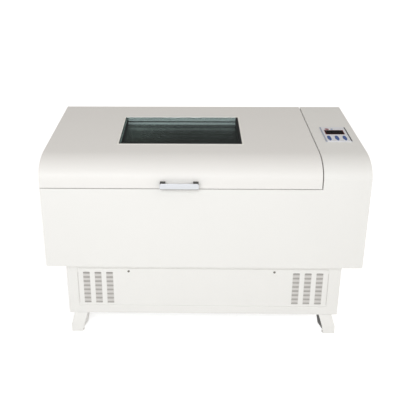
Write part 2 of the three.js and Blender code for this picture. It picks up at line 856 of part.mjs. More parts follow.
// Shaking drive
function driveFrame() {
  const leftX = chamberMiddleX - frameWidth / 2;
  const rightX = chamberMiddleX + frameWidth / 2;
  const frontY = baseFrontY + sheet + baseFlangeWidth - frameFlangeLap;
  const backY = baseBackY - sheet - baseFlangeWidth + frameFlangeLap;
  const plate = box(leftX, rightX, frontY, backY, driveFrameBottomZ, driveFrameTopZ);
  const midY = (driveSpindleY + idlerSpindleY) / 2;
  const reach = idlerSpacing / 2 - frameWindowMargin;
  const windows = [-1, 1].map((side) => box(
    Math.min(chamberMiddleX + side * frameWindowMargin, chamberMiddleX + side * reach),
    Math.max(chamberMiddleX + side * frameWindowMargin, chamberMiddleX + side * reach),
    idlerSpindleY, midY + frameWindowMargin, driveFrameBottomZ - cutOver, driveFrameTopZ + cutOver));
  const ribs = [idlerSpindleY - frameWindowMargin, driveSpindleY + frameWindowMargin].map((y) => box(
    leftX + frameRibThickness, rightX - frameRibThickness, y, y + frameRibThickness,
    driveFrameBottomZ - frameRibHeight, driveFrameBottomZ + frameThickness / 2));
  const housings = spindleHoles(housingRadius, housingBottomZ, housingTopZ);
  const bores = spindleHoles(
    spindleRadius + shaftPlay, housingBottomZ - cutOver, housingTopZ + cutOver, roundFacets);
  return cut(join(cut(plate, ...windows), ...ribs, ...housings), ...bores);
}

// A crank in its own frame: spindle on z, pin towards +x, counterweight towards -x
function crank(spindleBottomZ) {
  const spindle = cylinderZ(spindleRadius, 0, 0, spindleBottomZ, webTopZ, roundFacets);
  const pin = cylinderZ(
    crankPinRadius, orbitRadius, 0, webTopZ - webThickness / 2, crankPinTopZ, roundFacets);
  const hub = cylinderZ(webHubRadius, 0, 0, webBottomZ, webTopZ, roundFacets);
  const nose = cylinderZ(crankPinRadius + sheet, orbitRadius, 0, webBottomZ, webTopZ, roundFacets);
  const weight = overlap(
    cylinderZ(counterweightRadius, 0, 0, webBottomZ, webTopZ, roundFacets),
    box(-counterweightRadius, 0, -counterweightRadius, counterweightRadius, webBottomZ, webTopZ));
  return join(spindle, pin, hub, nose, weight);
}

// A flat-belt pulley in its own frame, round an axle of the given radius
function pulley(radius, axleRadius, hubRadius) {
  const rimRadius = radius + pulleyFlange;
  const low = pulleyBottomZ + pulleyFlangeThickness;
  const high = pulleyTopZ - pulleyFlangeThickness;
  const bore = axleRadius + shaftPlay;
  const wheel = revolveZ([
    [bore, pulleyBottomZ], [rimRadius, pulleyBottomZ], [rimRadius, low], [radius, low],
    [radius, high], [rimRadius, high], [rimRadius, pulleyTopZ], [bore, pulleyTopZ], [bore, pulleyBottomZ],
  ]);
  if (radius < hubRadius + 2 * pulleyWindowRadius) return toSolid(wheel);
  const windows = [];
  const ringRadius = (hubRadius + radius) / 2;
  for (let index = 0; index < pulleyWindows; index += 1) {
    const angle = index * 2 * Math.PI / pulleyWindows;
    windows.push(cylinderZ(
      pulleyWindowRadius, ringRadius * Math.cos(angle), ringRadius * Math.sin(angle),
      pulleyBottomZ - cutOver, pulleyTopZ + cutOver, clampFacets));
  }
  return cut(wheel, ...windows);
}

function beltLoop(offset, Kind) {
  const angle = Math.acos((drivenPulleyRadius - motorPulleyRadius) / motorOffset);
  const loop = new Kind();
  loop.absarc(0, 0, drivenPulleyRadius + offset, angle, 2 * Math.PI - angle, false);
  loop.absarc(motorOffset, 0, motorPulleyRadius + offset, -angle, angle, false);
  return loop;
}

function driveBelt() {
  const outline = beltLoop(beltGap + beltThickness, THREE.Shape);
  outline.holes.push(beltLoop(beltGap, THREE.Path));
  const geometry = new THREE.ExtrudeGeometry(outline, {
    depth: beltWidth,
    bevelEnabled: false,
    curveSegments: beltFacets,
  });
  const bottomZ = (pulleyBottomZ + pulleyTopZ - beltWidth) / 2;
  return geometry.translate(chamberMiddleX, driveSpindleY, bottomZ);
}

function driveMotor() {
  const bottomZ = baseFloorZ + seat;
  const bodyZ = bottomZ + motorFootHeight;
  const bodyTopZ = bodyZ + motorHeight;
  const body = cylinderZ(
    motorRadius, motorX, driveSpindleY, bodyZ - motorFootHeight / 2, bodyTopZ, roundFacets);
  const grooves = [];
  for (let rib = 0; rib < motorRibs; rib += 1) {
    const groove = box(
      motorRadius - motorRibDepth, motorRadius + cutOver, -motorRibWidth / 2, motorRibWidth / 2,
      bodyZ + motorRibWidth, bodyTopZ - motorRibWidth);
    grooves.push(groove.rotateZ(rib * 2 * Math.PI / motorRibs).translate(motorX, driveSpindleY, 0));
  }
  const reach = motorRadius + motorFootLap;
  const foot = box(
    motorX - reach, motorX + reach, driveSpindleY - reach, driveSpindleY + reach, bottomZ, bodyZ);
  const shaft = cylinderZ(motorShaftRadius, motorX, driveSpindleY, bodyTopZ - motorFootHeight, pulleyTopZ);
  return join(cut(body, ...grooves), foot, shaft);
}

// The carriage carries the platform on the crank pins. It is drawn where the pins stand at rest.
function pinPlaces() {
  return spindlePlaces().map(([x, y]) => [x + orbitRadius, y]);
}

const platformMiddleX = chamberMiddleX + orbitRadius;

function platformCarriage() {
  const bottomZ = carriageTopZ - carriageThickness;
  const frontY = shakerMiddleY - carriageDepth / 2;
  const backY = shakerMiddleY + carriageDepth / 2;
  const leftX = platformMiddleX - carriageWidth / 2;
  const rightX = platformMiddleX + carriageWidth / 2;
  const windowSpans = [
    [leftX + carriageBeamWidth, platformMiddleX - carriageBeamWidth / 2],
    [platformMiddleX + carriageBeamWidth / 2, rightX - carriageBeamWidth],
  ];
  const windows = windowSpans.map(([x0, x1]) => box(
    x0, x1, frontY + 2 * carriageBeamWidth, backY - carriageBeamWidth,
    bottomZ - cutOver, carriageTopZ + cutOver));
  const plate = cut(box(leftX, rightX, frontY, backY, bottomZ, carriageTopZ), ...windows);
  const hubs = pinPlaces().map(([x, y]) => cylinderZ(
    carriageHubRadius, x, y, carriageHubBottomZ, carriageTopZ, roundFacets));
  const bores = pinPlaces().map(([x, y]) => cylinderZ(
    crankPinRadius + shaftPlay, x, y, carriageHubBottomZ - cutOver, carriageTopZ + cutOver, roundFacets));
  return cut(join(plate, ...hubs), ...bores);
}

function platformTray() {
  const u0 = platformMiddleX - platformWidth / 2;
  const u1 = platformMiddleX + platformWidth / 2;
  const v0 = shakerMiddleY - platformDepth / 2;
  const v1 = shakerMiddleY + platformDepth / 2;
  const floor = roundedOutline(u0, u1, v0, v1, platformCorner);
  const columns = Math.floor((platformWidth / 2 - platformHolePitch / 2) / platformHolePitch);
  const rows = Math.floor((platformDepth / 2 - platformHolePitch / 2) / platformHolePitch);
  for (let column = -columns; column <= columns; column += 1) {
    for (let row = -rows; row <= rows; row += 1) {
      const hole = new THREE.Path();
      const x = platformMiddleX + column * platformHolePitch;
      const y = shakerMiddleY + row * platformHolePitch;
      hole.absarc(x, y, platformHoleRadius, 0, 2 * Math.PI, false);
      floor.holes.push(hole);
    }
  }
  const rim = roundedOutline(u0, u1, v0, v1, platformCorner);
  rim.holes.push(roundedOutline(
    u0 + sheet, u1 - sheet, v0 + sheet, v1 - sheet, platformCorner - sheet, THREE.Path));
  return join(
    prismZ(floor, platformBottomZ, platformTopZ),
    prismZ(rim, platformBottomZ + sheet / 2, platformTopZ + platformRim));
}

// Flask clamps: turned cups cut into four fingers, three on a rail
function clampRow(row) {
  const y = shakerMiddleY + (row - (clampRows - 1) / 2) * clampRowPitch;
  const bottomZ = platformTopZ + seat;
  const topOfCup = bottomZ + clampHeight;
  const cups = [];
  for (let index = 0; index < clampsPerRow; index += 1) {
    const x = platformMiddleX + (index - (clampsPerRow - 1) / 2) * clampPitch;
    const cup = revolveZ([
      [0, bottomZ], [clampFloorRadius, bottomZ],
      [clampWallRadius, bottomZ + (clampWallRadius - clampFloorRadius)],
      [clampNeckRadius, topOfCup], [clampNeckRadius - clampSheet, topOfCup],
      [clampWallRadius - clampSheet, bottomZ + (clampWallRadius - clampFloorRadius) + clampSheet / 2],
      [clampFloorRadius - clampSheet / 2, bottomZ + clampSheet], [0, bottomZ + clampSheet],
    ], clampFacets).translate(x, y, 0);
    const slotZ = bottomZ + clampSheet + seat;
    cups.push(cut(
      cup,
      box(x - clampGap / 2, x + clampGap / 2, y - clampWallRadius - cutOver, y + clampWallRadius + cutOver,
        slotZ, topOfCup + cutOver),
      box(x - clampWallRadius - cutOver, x + clampWallRadius + cutOver, y - clampGap / 2, y + clampGap / 2,
        slotZ, topOfCup + cutOver)));
  }
  const reach = (clampsPerRow - 1) * clampPitch / 2 + clampFloorRadius + clampRailOver;
  const rail = box(
    platformMiddleX - reach, platformMiddleX + reach, y - clampRailWidth / 2, y + clampRailWidth / 2,
    bottomZ, bottomZ + clampSheet);
  return join(rail, ...cups);
}

// Base cabinet with a recessed lip round the front panel, and a service opening at the back
function serviceOutline(lap, Kind = THREE.Shape) {
  const z = footHeight + serviceSillHeight;
  return roundedOutline(
    -serviceWidth / 2 - lap, serviceWidth / 2 + lap, z - lap, z + serviceHeight + lap, bezelCorner, Kind);
}

function baseCabinet() {
  const outside = box(-halfBase, halfBase, baseFrontY, baseBackY, footHeight, baseTopZ);
  const cavity = box(
    -halfBase + sheet, halfBase - sheet, baseFrontY + sheet, baseBackY - sheet,
    baseFloorZ, baseTopZ - sheet);
  const topOpening = box(
    -halfBase + baseFlangeWidth, halfBase - baseFlangeWidth,
    baseFrontY + baseFlangeWidth, baseBackY - baseFlangeWidth,
    baseTopZ - sheet - cutOver, baseTopZ + cutOver);
  const frontOpening = box(
    accessLeftX - accessGap, accessRightX + accessGap, baseFrontY - cutOver, baseFrontY + sheet,
    accessBottomZ - accessGap, accessTopZ + accessGap);
  const lip = box(
    accessLeftX - accessLipOuterWidth, accessRightX + accessLipOuterWidth,
    baseFrontY + sheet, baseFrontY + 2 * sheet,
    accessBottomZ - accessLipOuterWidth, accessTopZ + accessLipOuterWidth);
  const lipOpening = box(
    accessLeftX + accessLipInnerWidth, accessRightX - accessLipInnerWidth,
    baseFrontY, baseFrontY + 2 * sheet + cutOver,
    accessBottomZ + accessLipInnerWidth, accessTopZ - accessLipInnerWidth);
  const serviceHole = prismY(serviceOutline(0), baseBackY - sheet - cutOver, baseBackY + cutOver);
  return cut(
    join(cut(outside, cavity, topOpening, frontOpening), lip), lipOpening, serviceHole);
}

// Front panel, flush in the base's front: columns of round-ended slots at each end let the
// condenser breathe, and two screws near its top edge hold it
function frontAccessPanel() {
  const outline = polygon([
    [accessLeftX, accessBottomZ], [accessRightX, accessBottomZ],
    [accessRightX, accessTopZ], [accessLeftX, accessTopZ],
  ]);
  const middleZ = (accessBottomZ + accessTopZ) / 2 - ventDrop;
  for (let column = 0; column < ventColumns; column += 1) {
    const inset = ventEdgeInset + column * ventColumnPitch;
    for (let row = 0; row < ventRows; row += 1) {
      const z = middleZ + (row - (ventRows - 1) / 2) * ventRowPitch;
      outline.holes.push(slotHole(accessLeftX + inset, z, ventLength, ventHeight));
      outline.holes.push(slotHole(accessRightX - inset, z, ventLength, ventHeight));
    }
  }
  const backY = baseFrontY + sheet - seat;
  const screws = [-1, 1].map((side) => cylinderY(
    screwRadius, screwCentreShift + side * screwShift, baseFrontY - screwHeadHeight,
    (baseFrontY + backY) / 2, accessTopZ - screwDrop));
  return join(prismY(outline, baseFrontY, backY), ...screws);
}

function rearServiceGrille() {
  const slots = [];
  const frontY = baseBackY + seat;
  const backY = frontY + sheet;
  const middleZ = footHeight + serviceSillHeight + serviceHeight / 2;
  for (let column = 0; column < serviceSlots; column += 1) {
    const x = (column - (serviceSlots - 1) / 2) * serviceSlotPitch;
    for (let row = 0; row < serviceSlotRows; row += 1) {
      const z = middleZ + (row - (serviceSlotRows - 1) / 2) * serviceSlotRowPitch;
      slots.push(slotTool(x, z, serviceSlotLength, serviceSlotHeight, frontY, backY));
    }
  }
  return cut(prismY(serviceOutline(serviceLap), frontY, backY), ...slots);
}

// A pressed foot bracket of the front right corner, about the base's middle. Its front plate bends
// at half height, its inner cheek splays towards the back, and a flanged roof runs under the base
function footBracket(side) {
  const outerTop = halfBase - footTopInset;
  const outerBottom = halfBase - footBottomInset;
  const innerTop = outerTop - footTopWidth;
  const innerBottom = outerBottom - footBottomWidth;
  const roofZ = footHeight - seat;
  const flangeZ = roofZ - footFlangeHeight;
  const toeY = baseFrontY - footReach;
  const toeEndY = toeY + footToeLength;
  const cheekY = baseFrontY + footCheekLength;
  const flangeY = baseFrontY + footFlangeLength;
  const reach = halfBase + cutOver;
  const splay = new THREE.Matrix4()
    .makeShear(0, 0, -side * footSplayShare, 0, 0, 0)
    .setPosition(side * footSplayShare * toeY, 0, 0);
  const channel = (inset) => {
    const outer = prismY(polygon([
      [side * (outerTop - inset), roofZ], [side * (outerBottom - inset), footBendHeight],
      [side * (outerBottom - inset), 0], [0, 0], [0, roofZ],
    ]), toeY - cutOver, flangeY + cutOver);
    const inner = prismY(polygon([
      [side * (innerTop + inset), roofZ], [side * (innerBottom + inset), 0],
      [side * reach, 0], [side * reach, roofZ],
    ]), toeY - cutOver, flangeY + cutOver);
    return overlap(outer, inner.applyMatrix4(splay));
  };
  const profile = polygon([
    [baseFrontY, roofZ], [toeY, footBendHeight], [toeY, 0], [toeEndY, 0], [toeEndY, footSheet],
    [toeY + footSheet, footSheet], [toeY + footSheet, footCheekHeight], [cheekY, footCheekHeight],
    [cheekY, flangeZ], [flangeY, flangeZ], [flangeY, roofZ],
  ]);
  const hollow = polygon([
    [baseFrontY + footSheet, roofZ - footSheet], [toeY + footSheet, footBendHeight],
    [toeY + footSheet, footSheet], [flangeY + cutOver, footSheet], [flangeY + cutOver, roofZ - footSheet],
  ]);
  const [x0, x1] = side < 0 ? [-reach, 0] : [0, reach];
  const block = overlap(channel(0), prismX(profile, x0, x1));
  return cut(block, overlap(channel(footSheet), prismX(hollow, x0, x1)))
    .translate([0, -baseMiddleY, 0]);
}

// Refrigeration unit
const condenserMiddleX = -halfBase + condenserInset + condenserWidth / 2;
const condenserFrontY = baseFrontY + condenserFrontGap;
const condenserFanY = condenserFrontY + condenserDepth + condenserFanGap;
const condenserMotorY = condenserFanY + condenserFanDepth + fanMotorGap;
const condenserMiddleZ = baseFloorZ + condenserLift + condenserHeight / 2;

function condenserCoil() {
  const coil = finnedCoil(
    condenserWidth, condenserDepth, condenserHeight, condenserFrontY, condenserMiddleX,
    baseFloorZ + condenserLift);
  const feet = [-1, 1].map((side) => {
    const x = condenserMiddleX + side * (condenserWidth / 2 - coilFinThickness / 2);
    return box(
      x - coilFinThickness / 2, x + coilFinThickness / 2, condenserFrontY, condenserFrontY + condenserDepth,
      baseFloorZ + seat, baseFloorZ + condenserLift + coilTubeRadius);
  });
  return join(coil, ...feet);
}

function condenserFanMotor() {
  const backY = condenserMotorY + condenserMotorLength;
  const motor = cylinderY(
    condenserMotorRadius, condenserMiddleX, condenserMotorY, backY, condenserMiddleZ, roundFacets);
  const shaft = cylinderY(
    fanShaftRadius, condenserMiddleX, condenserFanY, condenserMotorY + fanGap, condenserMiddleZ);
  const post = box(
    condenserMiddleX - condenserBracketWidth / 2, condenserMiddleX + condenserBracketWidth / 2,
    backY - condenserBracketSheet, backY, baseFloorZ + seat, condenserMiddleZ);
  const foot = box(
    condenserMiddleX - condenserBracketWidth / 2, condenserMiddleX + condenserBracketWidth / 2,
    condenserMotorY, backY, baseFloorZ + seat, baseFloorZ + seat + condenserBracketSheet);
  return join(motor, shaft, post, foot);
}

function compressor() {
  const bottomZ = baseFloorZ + seat + compressorFootThickness;
  const seamZ = bottomZ + (compressorHeight - compressorSeamHeight) / 2;
  const shoulderShare = 0.72;
  const bottomOfCan = bottomZ - compressorFootThickness / 2;
  const topOfCan = bottomZ + compressorHeight;
  const seamRadius = compressorRadius + compressorSeamWidth;
  const can = revolveZ([
    [0, bottomOfCan], [compressorRadius * shoulderShare, bottomOfCan],
    [compressorRadius, bottomZ + compressorDomeHeight / 2], [compressorRadius, seamZ],
    [seamRadius, seamZ], [seamRadius, seamZ + compressorSeamHeight],
    [compressorRadius, seamZ + compressorSeamHeight], [compressorRadius, topOfCan - compressorDomeHeight],
    [compressorRadius * shoulderShare, topOfCan - compressorDomeHeight / 4], [0, topOfCan],
  ]).translate(compressorX, compressorY, 0);
  const feet = [[compressorFootWidth, compressorFootDepth], [compressorFootDepth, compressorFootWidth]];
  const plates = feet.map(([width, depth]) => box(
    compressorX - width / 2, compressorX + width / 2, compressorY - depth / 2, compressorY + depth / 2,
    baseFloorZ + seat, baseFloorZ + seat + compressorFootThickness));
  return join(can, ...plates);
}

// Console pieces
function keyPlace(index) {
  return [bezelLeftX + keyInset + index * keyPitch, bezelFrontY + keyFrontOffset + keyLength / 2];
}

function keyOutline(index, grow, Kind = THREE.Shape) {
  const [x, y] = keyPlace(index);
  return roundedOutline(
    x - keyWidth / 2 - grow, x + keyWidth / 2 + grow, y - keyLength / 2 - grow, y + keyLength / 2 + grow,
    keyCorner + grow, Kind);
}

function displayOutline(grow, Kind = THREE.Shape) {
  const x = bezelLeftX + displayInset;
  const y = bezelFrontY + displayFrontOffset;
  return roundedOutline(
    x - grow, x + displayWidth + grow, y - grow, y + displayLength + grow, bezelCorner, Kind);
}

function controlBezel() {
  const plateOutline = bezelCutout(0);
  plateOutline.holes.push(displayOutline(seat, THREE.Path));
  for (let index = 0; index < keyCount; index += 1) {
    plateOutline.holes.push(keyOutline(index, seat, THREE.Path));
  }
  const plate = prismZ(plateOutline, bezelBottomZ, bezelTopZ);
  const skirtOuter = bezelLap + seat;
  const skirt = cut(
    prismZ(bezelCutout(skirtOuter), topZ - bezelSkirt, bezelBottomZ + bezelThickness / 2),
    prismZ(bezelCutout(skirtOuter + bezelSkirtWall), topZ - bezelSkirt - cutOver, bezelTopZ + cutOver));
  const boardTopZ = topZ - boardDepth;
  const posts = [];
  const behindKeys = (keyFrontOffset + keyLength + displayFrontOffset) / 2;
  for (const x of [bezelLeftX + boardMargin, bezelLeftX + bezelWidth - boardMargin]) {
    for (const y of [bezelFrontY + behindKeys, bezelBackY - boardMargin]) {
      posts.push(cylinderZ(
        boardPostRadius, x, y, boardTopZ + seat, bezelBottomZ + bezelThickness / 2, smallFacets));
    }
  }
  const grooveRightX = bezelLeftX + bezelWidth - bezelGrooveInset;
  const groove = box(
    grooveRightX - bezelGrooveWidth, grooveRightX, bezelFrontY + bezelCorner, bezelBackY - bezelCorner,
    bezelTopZ - bezelGrooveDepth, bezelTopZ + cutOver);
  return cut(join(plate, skirt, ...posts), groove);
}

function displayWindow() {
  return join(
    prismZ(displayOutline(0), bezelBottomZ - seat - keyPadThickness / 2, bezelTopZ + displayProud),
    prismZ(displayOutline(keyPadLap), bezelBottomZ - seat - keyPadThickness, bezelBottomZ - seat));
}

function panelKey(index) {
  const [x, y] = keyPlace(index);
  const padTopZ = bezelBottomZ - seat;
  const padBottomZ = padTopZ - keyPadThickness;
  return join(
    prismZ(keyOutline(index, 0), padBottomZ + keyPadThickness / 2, bezelTopZ + keyProud),
    prismZ(keyOutline(index, keyPadLap), padBottomZ, padTopZ),
    cylinderZ(
      boardPostRadius, x, y, topZ - boardDepth + keyTravel + seat, padTopZ - keyPadThickness / 2,
      smallFacets));
}

function controlBoard() {
  const margin = boardMargin - boardPostRadius;
  const board = box(
    bezelLeftX + margin, bezelLeftX + bezelWidth - margin, bezelFrontY + margin, bezelBackY - margin,
    topZ - boardDepth - boardThickness, topZ - boardDepth);
  const x = bezelLeftX + displayInset;
  const y = bezelFrontY + displayFrontOffset;
  const digits = box(
    x + bezelCorner, x + displayWidth - bezelCorner, y + bezelCorner, y + displayLength - bezelCorner,
    topZ - boardDepth - boardThickness / 2, bezelBottomZ - 2 * seat - keyPadThickness);
  return join(board, digits);
}

const inletMiddleZ = undersideZ + inletHeightZ;
const inletFaceY = cabinetDepth + seat + inletFlange;
const rockerMiddleZ = inletMiddleZ + inletHeight / 2 - inletLap - rockerRadius - inletFlange;
const socketMiddleZ = inletMiddleZ - inletHeight / 2 + inletLap + inletFlange + inletSocketHeight / 2;

function powerInlet() {
  const x = consoleMiddleX;
  const caseWidth = inletWidth - 2 * inletLap;
  const caseHeight = inletHeight - 2 * inletLap;
  const flange = box(
    x - inletWidth / 2, x + inletWidth / 2, cabinetDepth + seat, inletFaceY,
    inletMiddleZ - inletHeight / 2, inletMiddleZ + inletHeight / 2);
  const body = box(
    x - caseWidth / 2, x + caseWidth / 2, inletFaceY - inletDepth, inletFaceY - inletFlange / 2,
    inletMiddleZ - caseHeight / 2, inletMiddleZ + caseHeight / 2);
  const socket = box(
    x - inletSocketWidth / 2, x + inletSocketWidth / 2, inletFaceY - inletSocketDepth, inletFaceY + cutOver,
    socketMiddleZ - inletSocketHeight / 2, socketMiddleZ + inletSocketHeight / 2);
  const rockerSpace = box(
    x - rockerWidth / 2 - seat, x + rockerWidth / 2 + seat, inletFaceY - rockerRadius - 2 * seat,
    inletFaceY + cutOver, rockerMiddleZ - rockerRadius - seat, rockerMiddleZ + rockerRadius + seat);
  const pins = [-1, 0, 1].map((place) => {
    const pinX = x + place * inletSocketWidth / 4;
    const pinZ = socketMiddleZ + (place === 0 ? inletPinWidth : -inletPinWidth);
    return box(
      pinX - inletPinWidth / 2, pinX + inletPinWidth / 2, inletFaceY - inletSocketDepth - inletPinWidth,
      inletFaceY - inletFlange, pinZ - inletPinWidth, pinZ + inletPinWidth);
  });
  return join(cut(join(flange, body), socket, rockerSpace), ...pins);
}

// The rocker turns about x at the inlet's face; it is drawn about its own pivot
function powerRocker() {
  const rim = Math.sqrt(rockerRadius ** 2 - rockerProud ** 2);
  const outline = new THREE.Shape();
  outline.moveTo(rockerProud, rim);
  const startAngle = Math.atan2(rim, rockerProud);
  outline.absarc(0, 0, rockerRadius, startAngle, 2 * Math.PI - startAngle, false);
  outline.lineTo(rockerProud - rockerDip, 0);
  const basis = new THREE.Matrix4().makeBasis(
    new THREE.Vector3(0, 1, 0), new THREE.Vector3(0, 0, 1), new THREE.Vector3(1, 0, 0));
  const geometry = new THREE.ExtrudeGeometry(outline, {
    depth: rockerWidth,
    bevelEnabled: false,
    curveSegments: smallFacets,
  });
  return geometry.applyMatrix4(basis).translate(-rockerWidth / 2, 0, 0);
}

// Lid pieces
function lidShell() {
  const outside = prismX(noseOutline(-lidProud, lidBottomZ, cabinetDepth, 0), lidLeftX, lidRightX);
  const cavity = prismX(
    noseOutline(-lidProud, lidBottomZ + sheet, cabinetDepth - sheet, sheet),
    lidLeftX + sheet, lidRightX - sheet);
  const mouth = box(
    lidLeftX + sheet + lidFlangeWidth, lidRightX - sheet - lidFlangeWidth,
    lidFlangeWidth, cabinetDepth - sheet - lidFlangeWidth,
    lidBottomZ - cutOver, lidBottomZ + sheet + cutOver);
  const windowHole = prismZ(windowOutline(frameBorder + seat), topZ - cutOver, topZ + cutOver);
  return cut(outside, cavity, mouth, windowHole);
}

function windowOutline(grow, Kind = THREE.Shape) {
  return roundedOutline(
    windowMiddleX - windowWidth / 2 - grow, windowMiddleX + windowWidth / 2 + grow,
    windowFrontY - grow, windowFrontY + windowDepth + grow, windowCorner, Kind);
}

function lidLiner() {
  const inset = sheet + seat;
  const rim = box(
    lidLeftX + inset, lidRightX - inset, -lidProud + inset, cabinetDepth - inset,
    lidRimZ, lidRimZ + linerSheet);
  const tray = prismZ(chamberOutline(linerSheet), lidRimZ, lidCeilingZ + linerSheet);
  const hollow = prismZ(chamberOutline(0), lidRimZ - cutOver, lidCeilingZ);
  const lip = frameLedge + 2 * frameBorder;
  const view = prismZ(windowOutline(-lip), lidCeilingZ - cutOver, lidCeilingZ + cutOver);
  return cut(join(rim, tray), hollow, view);
}

function windowFrame() {
  const bottomZ = lidCeilingZ + linerSheet + seat;
  const ledgeZ = topZ - glassRecess - glassThickness - seat;
  return cut(
    prismZ(windowOutline(frameBorder), bottomZ, topZ + frameProud),
    prismZ(windowOutline(-frameLedge), bottomZ - cutOver, topZ + cutOver),
    prismZ(windowOutline(0), ledgeZ, topZ + cutOver));
}

function windowGlass(inset, bottomZ) {
  return prismZ(windowOutline(-inset), bottomZ, bottomZ + glassThickness);
}

const handleMiddleX = lidMiddleX + handleShift;
const handleBottomZ = lidBottomZ + handleLift;
const handleTopZ = handleBottomZ + handleBarHeight;

function handleBar() {
  const outline = roundedOutline(
    handleMiddleX - handleWidth / 2, handleMiddleX + handleWidth / 2, handleBottomZ, handleTopZ,
    handleBarCorner);
  const backY = -lidProud - handleStandoff;
  return prismY(outline, backY - handleBarThickness, backY);
}

function handlePost(side) {
  const outerX = handleMiddleX + side * (handleWidth / 2 - handlePostInset);
  const innerX = outerX - side * handlePostWidth;
  const outline = roundedOutline(
    Math.min(outerX, innerX), Math.max(outerX, innerX), handleBottomZ + handlePostInset, handleTopZ,
    handlePostInset);
  return prismY(outline, -lidProud - handleStandoff + seat, -lidProud - seat);
}

// Hinges in their own frame: the pin lies on x, the cabinet's back plane lies towards -y
function knuckles(first) {
  const pitch = hingeLength / hingeKnuckles;
  const rows = [];
  for (let index = first; index < hingeKnuckles; index += 2) {
    const x0 = -hingeLength / 2 + index * pitch + hingeKnuckleGap / 2;
    rows.push(cylinderX(hingeKnuckleRadius, x0, x0 + pitch - hingeKnuckleGap, 0, 0, mediumFacets));
  }
  return rows;
}

function hingeLeaf(up) {
  const outerKnuckles = up < 0;
  const clearRadius = hingeKnuckleRadius + hingeKnuckleGap;
  const middleReach = hingeLength / hingeKnuckles / 2;
  const z = [0, up * hingeLeafHeight].sort((a, b) => a - b);
  const plate = box(
    -hingeLength / 2, hingeLength / 2, -hingeKnuckleRadius, -hingeKnuckleRadius + hingeLeafThickness,
    z[0], z[1]);
  const notches = outerKnuckles
    ? [[-middleReach - hingeKnuckleGap / 2, middleReach + hingeKnuckleGap / 2]]
    : [[-hingeLength / 2 - cutOver, -middleReach + hingeKnuckleGap / 2],
      [middleReach - hingeKnuckleGap / 2, hingeLength / 2 + cutOver]];
  const cuts = notches.map(([x0, x1]) => box(
    x0, x1, -hingeKnuckleRadius - cutOver, 0, -clearRadius, clearRadius));
  const rows = knuckles(outerKnuckles ? 0 : 1);
  const bore = cylinderX(
    hingePinRadius + shaftPlay, -hingeLength / 2 - cutOver, hingeLength / 2 + cutOver, 0, 0, mediumFacets);
  return cut(join(cut(plate, ...cuts), ...rows), bore);
}

function hingePin() {
  return cylinderX(hingePinRadius, -hingeLength / 2, hingeLength / 2, 0, 0, mediumFacets);
}

// Lid stays: an arm turns on a stud of the chamber wall, and its pin runs in a slot under the lid.
// The slot follows the pin's path as seen from the lid, so the two move together without play.
function capsule([u0, v0], [u1, v1], radius) {
  const angle = Math.atan2(v1 - v0, u1 - u0);
  const outline = new THREE.Shape();
  outline.absarc(u1, v1, radius, angle - Math.PI / 2, angle + Math.PI / 2, false);
  outline.absarc(u0, v0, radius, angle + Math.PI / 2, angle + 1.5 * Math.PI, false);
  return outline;
}

function stayPinPath() {
  const [pivotY, pivotZ] = stayPivot;
  const length = Math.hypot(stayPin[0] - pivotY, stayPin[1] - pivotZ);
  const closedAngle = Math.atan2(stayPin[1] - pivotZ, stayPin[0] - pivotY);
  const path = [];
  for (let step = 0; step <= staySlotSteps; step += 1) {
    const turn = (step / staySlotSteps) * lidOpenDegrees * Math.PI / 180;
    const angle = closedAngle - stayTurnRatio * turn;
    const y = pivotY + length * Math.cos(angle) - hingeAxisY;
    const z = pivotZ + length * Math.sin(angle) - hingeAxisZ;
    path.push([
      hingeAxisY + y * Math.cos(turn) - z * Math.sin(turn),
      hingeAxisZ + y * Math.sin(turn) + z * Math.cos(turn),
    ]);
  }
  return path;
}

function staySlot(halfWidth) {
  const path = stayPinPath();
  const last = path.length - 1;
  const headings = path.map((point, index) => {
    const [y0, z0] = path[Math.max(index - 1, 0)];
    const [y1, z1] = path[Math.min(index + 1, last)];
    return Math.atan2(z1 - z0, y1 - y0);
  });
  const offset = (index, turn) => [
    path[index][0] + halfWidth * Math.cos(headings[index] + turn),
    path[index][1] + halfWidth * Math.sin(headings[index] + turn),
  ];
  const points = path.map((point, index) => offset(index, -Math.PI / 2));
  for (let step = 1; step < staySlotEndSteps; step += 1) {
    points.push(offset(last, -Math.PI / 2 + step * Math.PI / staySlotEndSteps));
  }
  points.push(...path.map((point, index) => offset(last - index, Math.PI / 2)));
  for (let step = 1; step < staySlotEndSteps; step += 1) {
    points.push(offset(0, Math.PI / 2 + step * Math.PI / staySlotEndSteps));
  }
  return polygon(points);
}

function stayArm(side) {
  const [armX0, armX1] = wallSpan(side, stayArmNear, stayArmFar);
  const [pinX0, pinX1] = wallSpan(side, stayTrackOffset - stayPinEnd, stayArmFar - stayArmThickness / 2);
  return cut(
    join(
      prismX(capsule(stayPivot, stayPin, stayArmHalfWidth), armX0, armX1),
      cylinderX(stayPinRadius, pinX0, pinX1, ...stayPin, smallFacets)),
    cylinderX(stayStudRadius + shaftPlay, armX0 - cutOver, armX1 + cutOver, ...stayPivot));
}

function stayTrack(side) {
  const [x0, x1] = wallSpan(side, stayTrackOffset, stayTrackOffset + stayTrackThickness);
  const path = stayPinPath();
  const reach = stayPinRadius + stayTrackMargin;
  const ys = path.map((point) => point[0]);
  const lowZ = Math.min(...path.map((point) => point[1])) - reach;
  const plate = box(x0, x1, Math.min(...ys) - reach, Math.max(...ys) + reach, lowZ, lidCeilingZ - seat);
  return cut(plate, prismX(staySlot(stayPinRadius + shaftPlay), x0 - cutOver, x1 + cutOver));
}

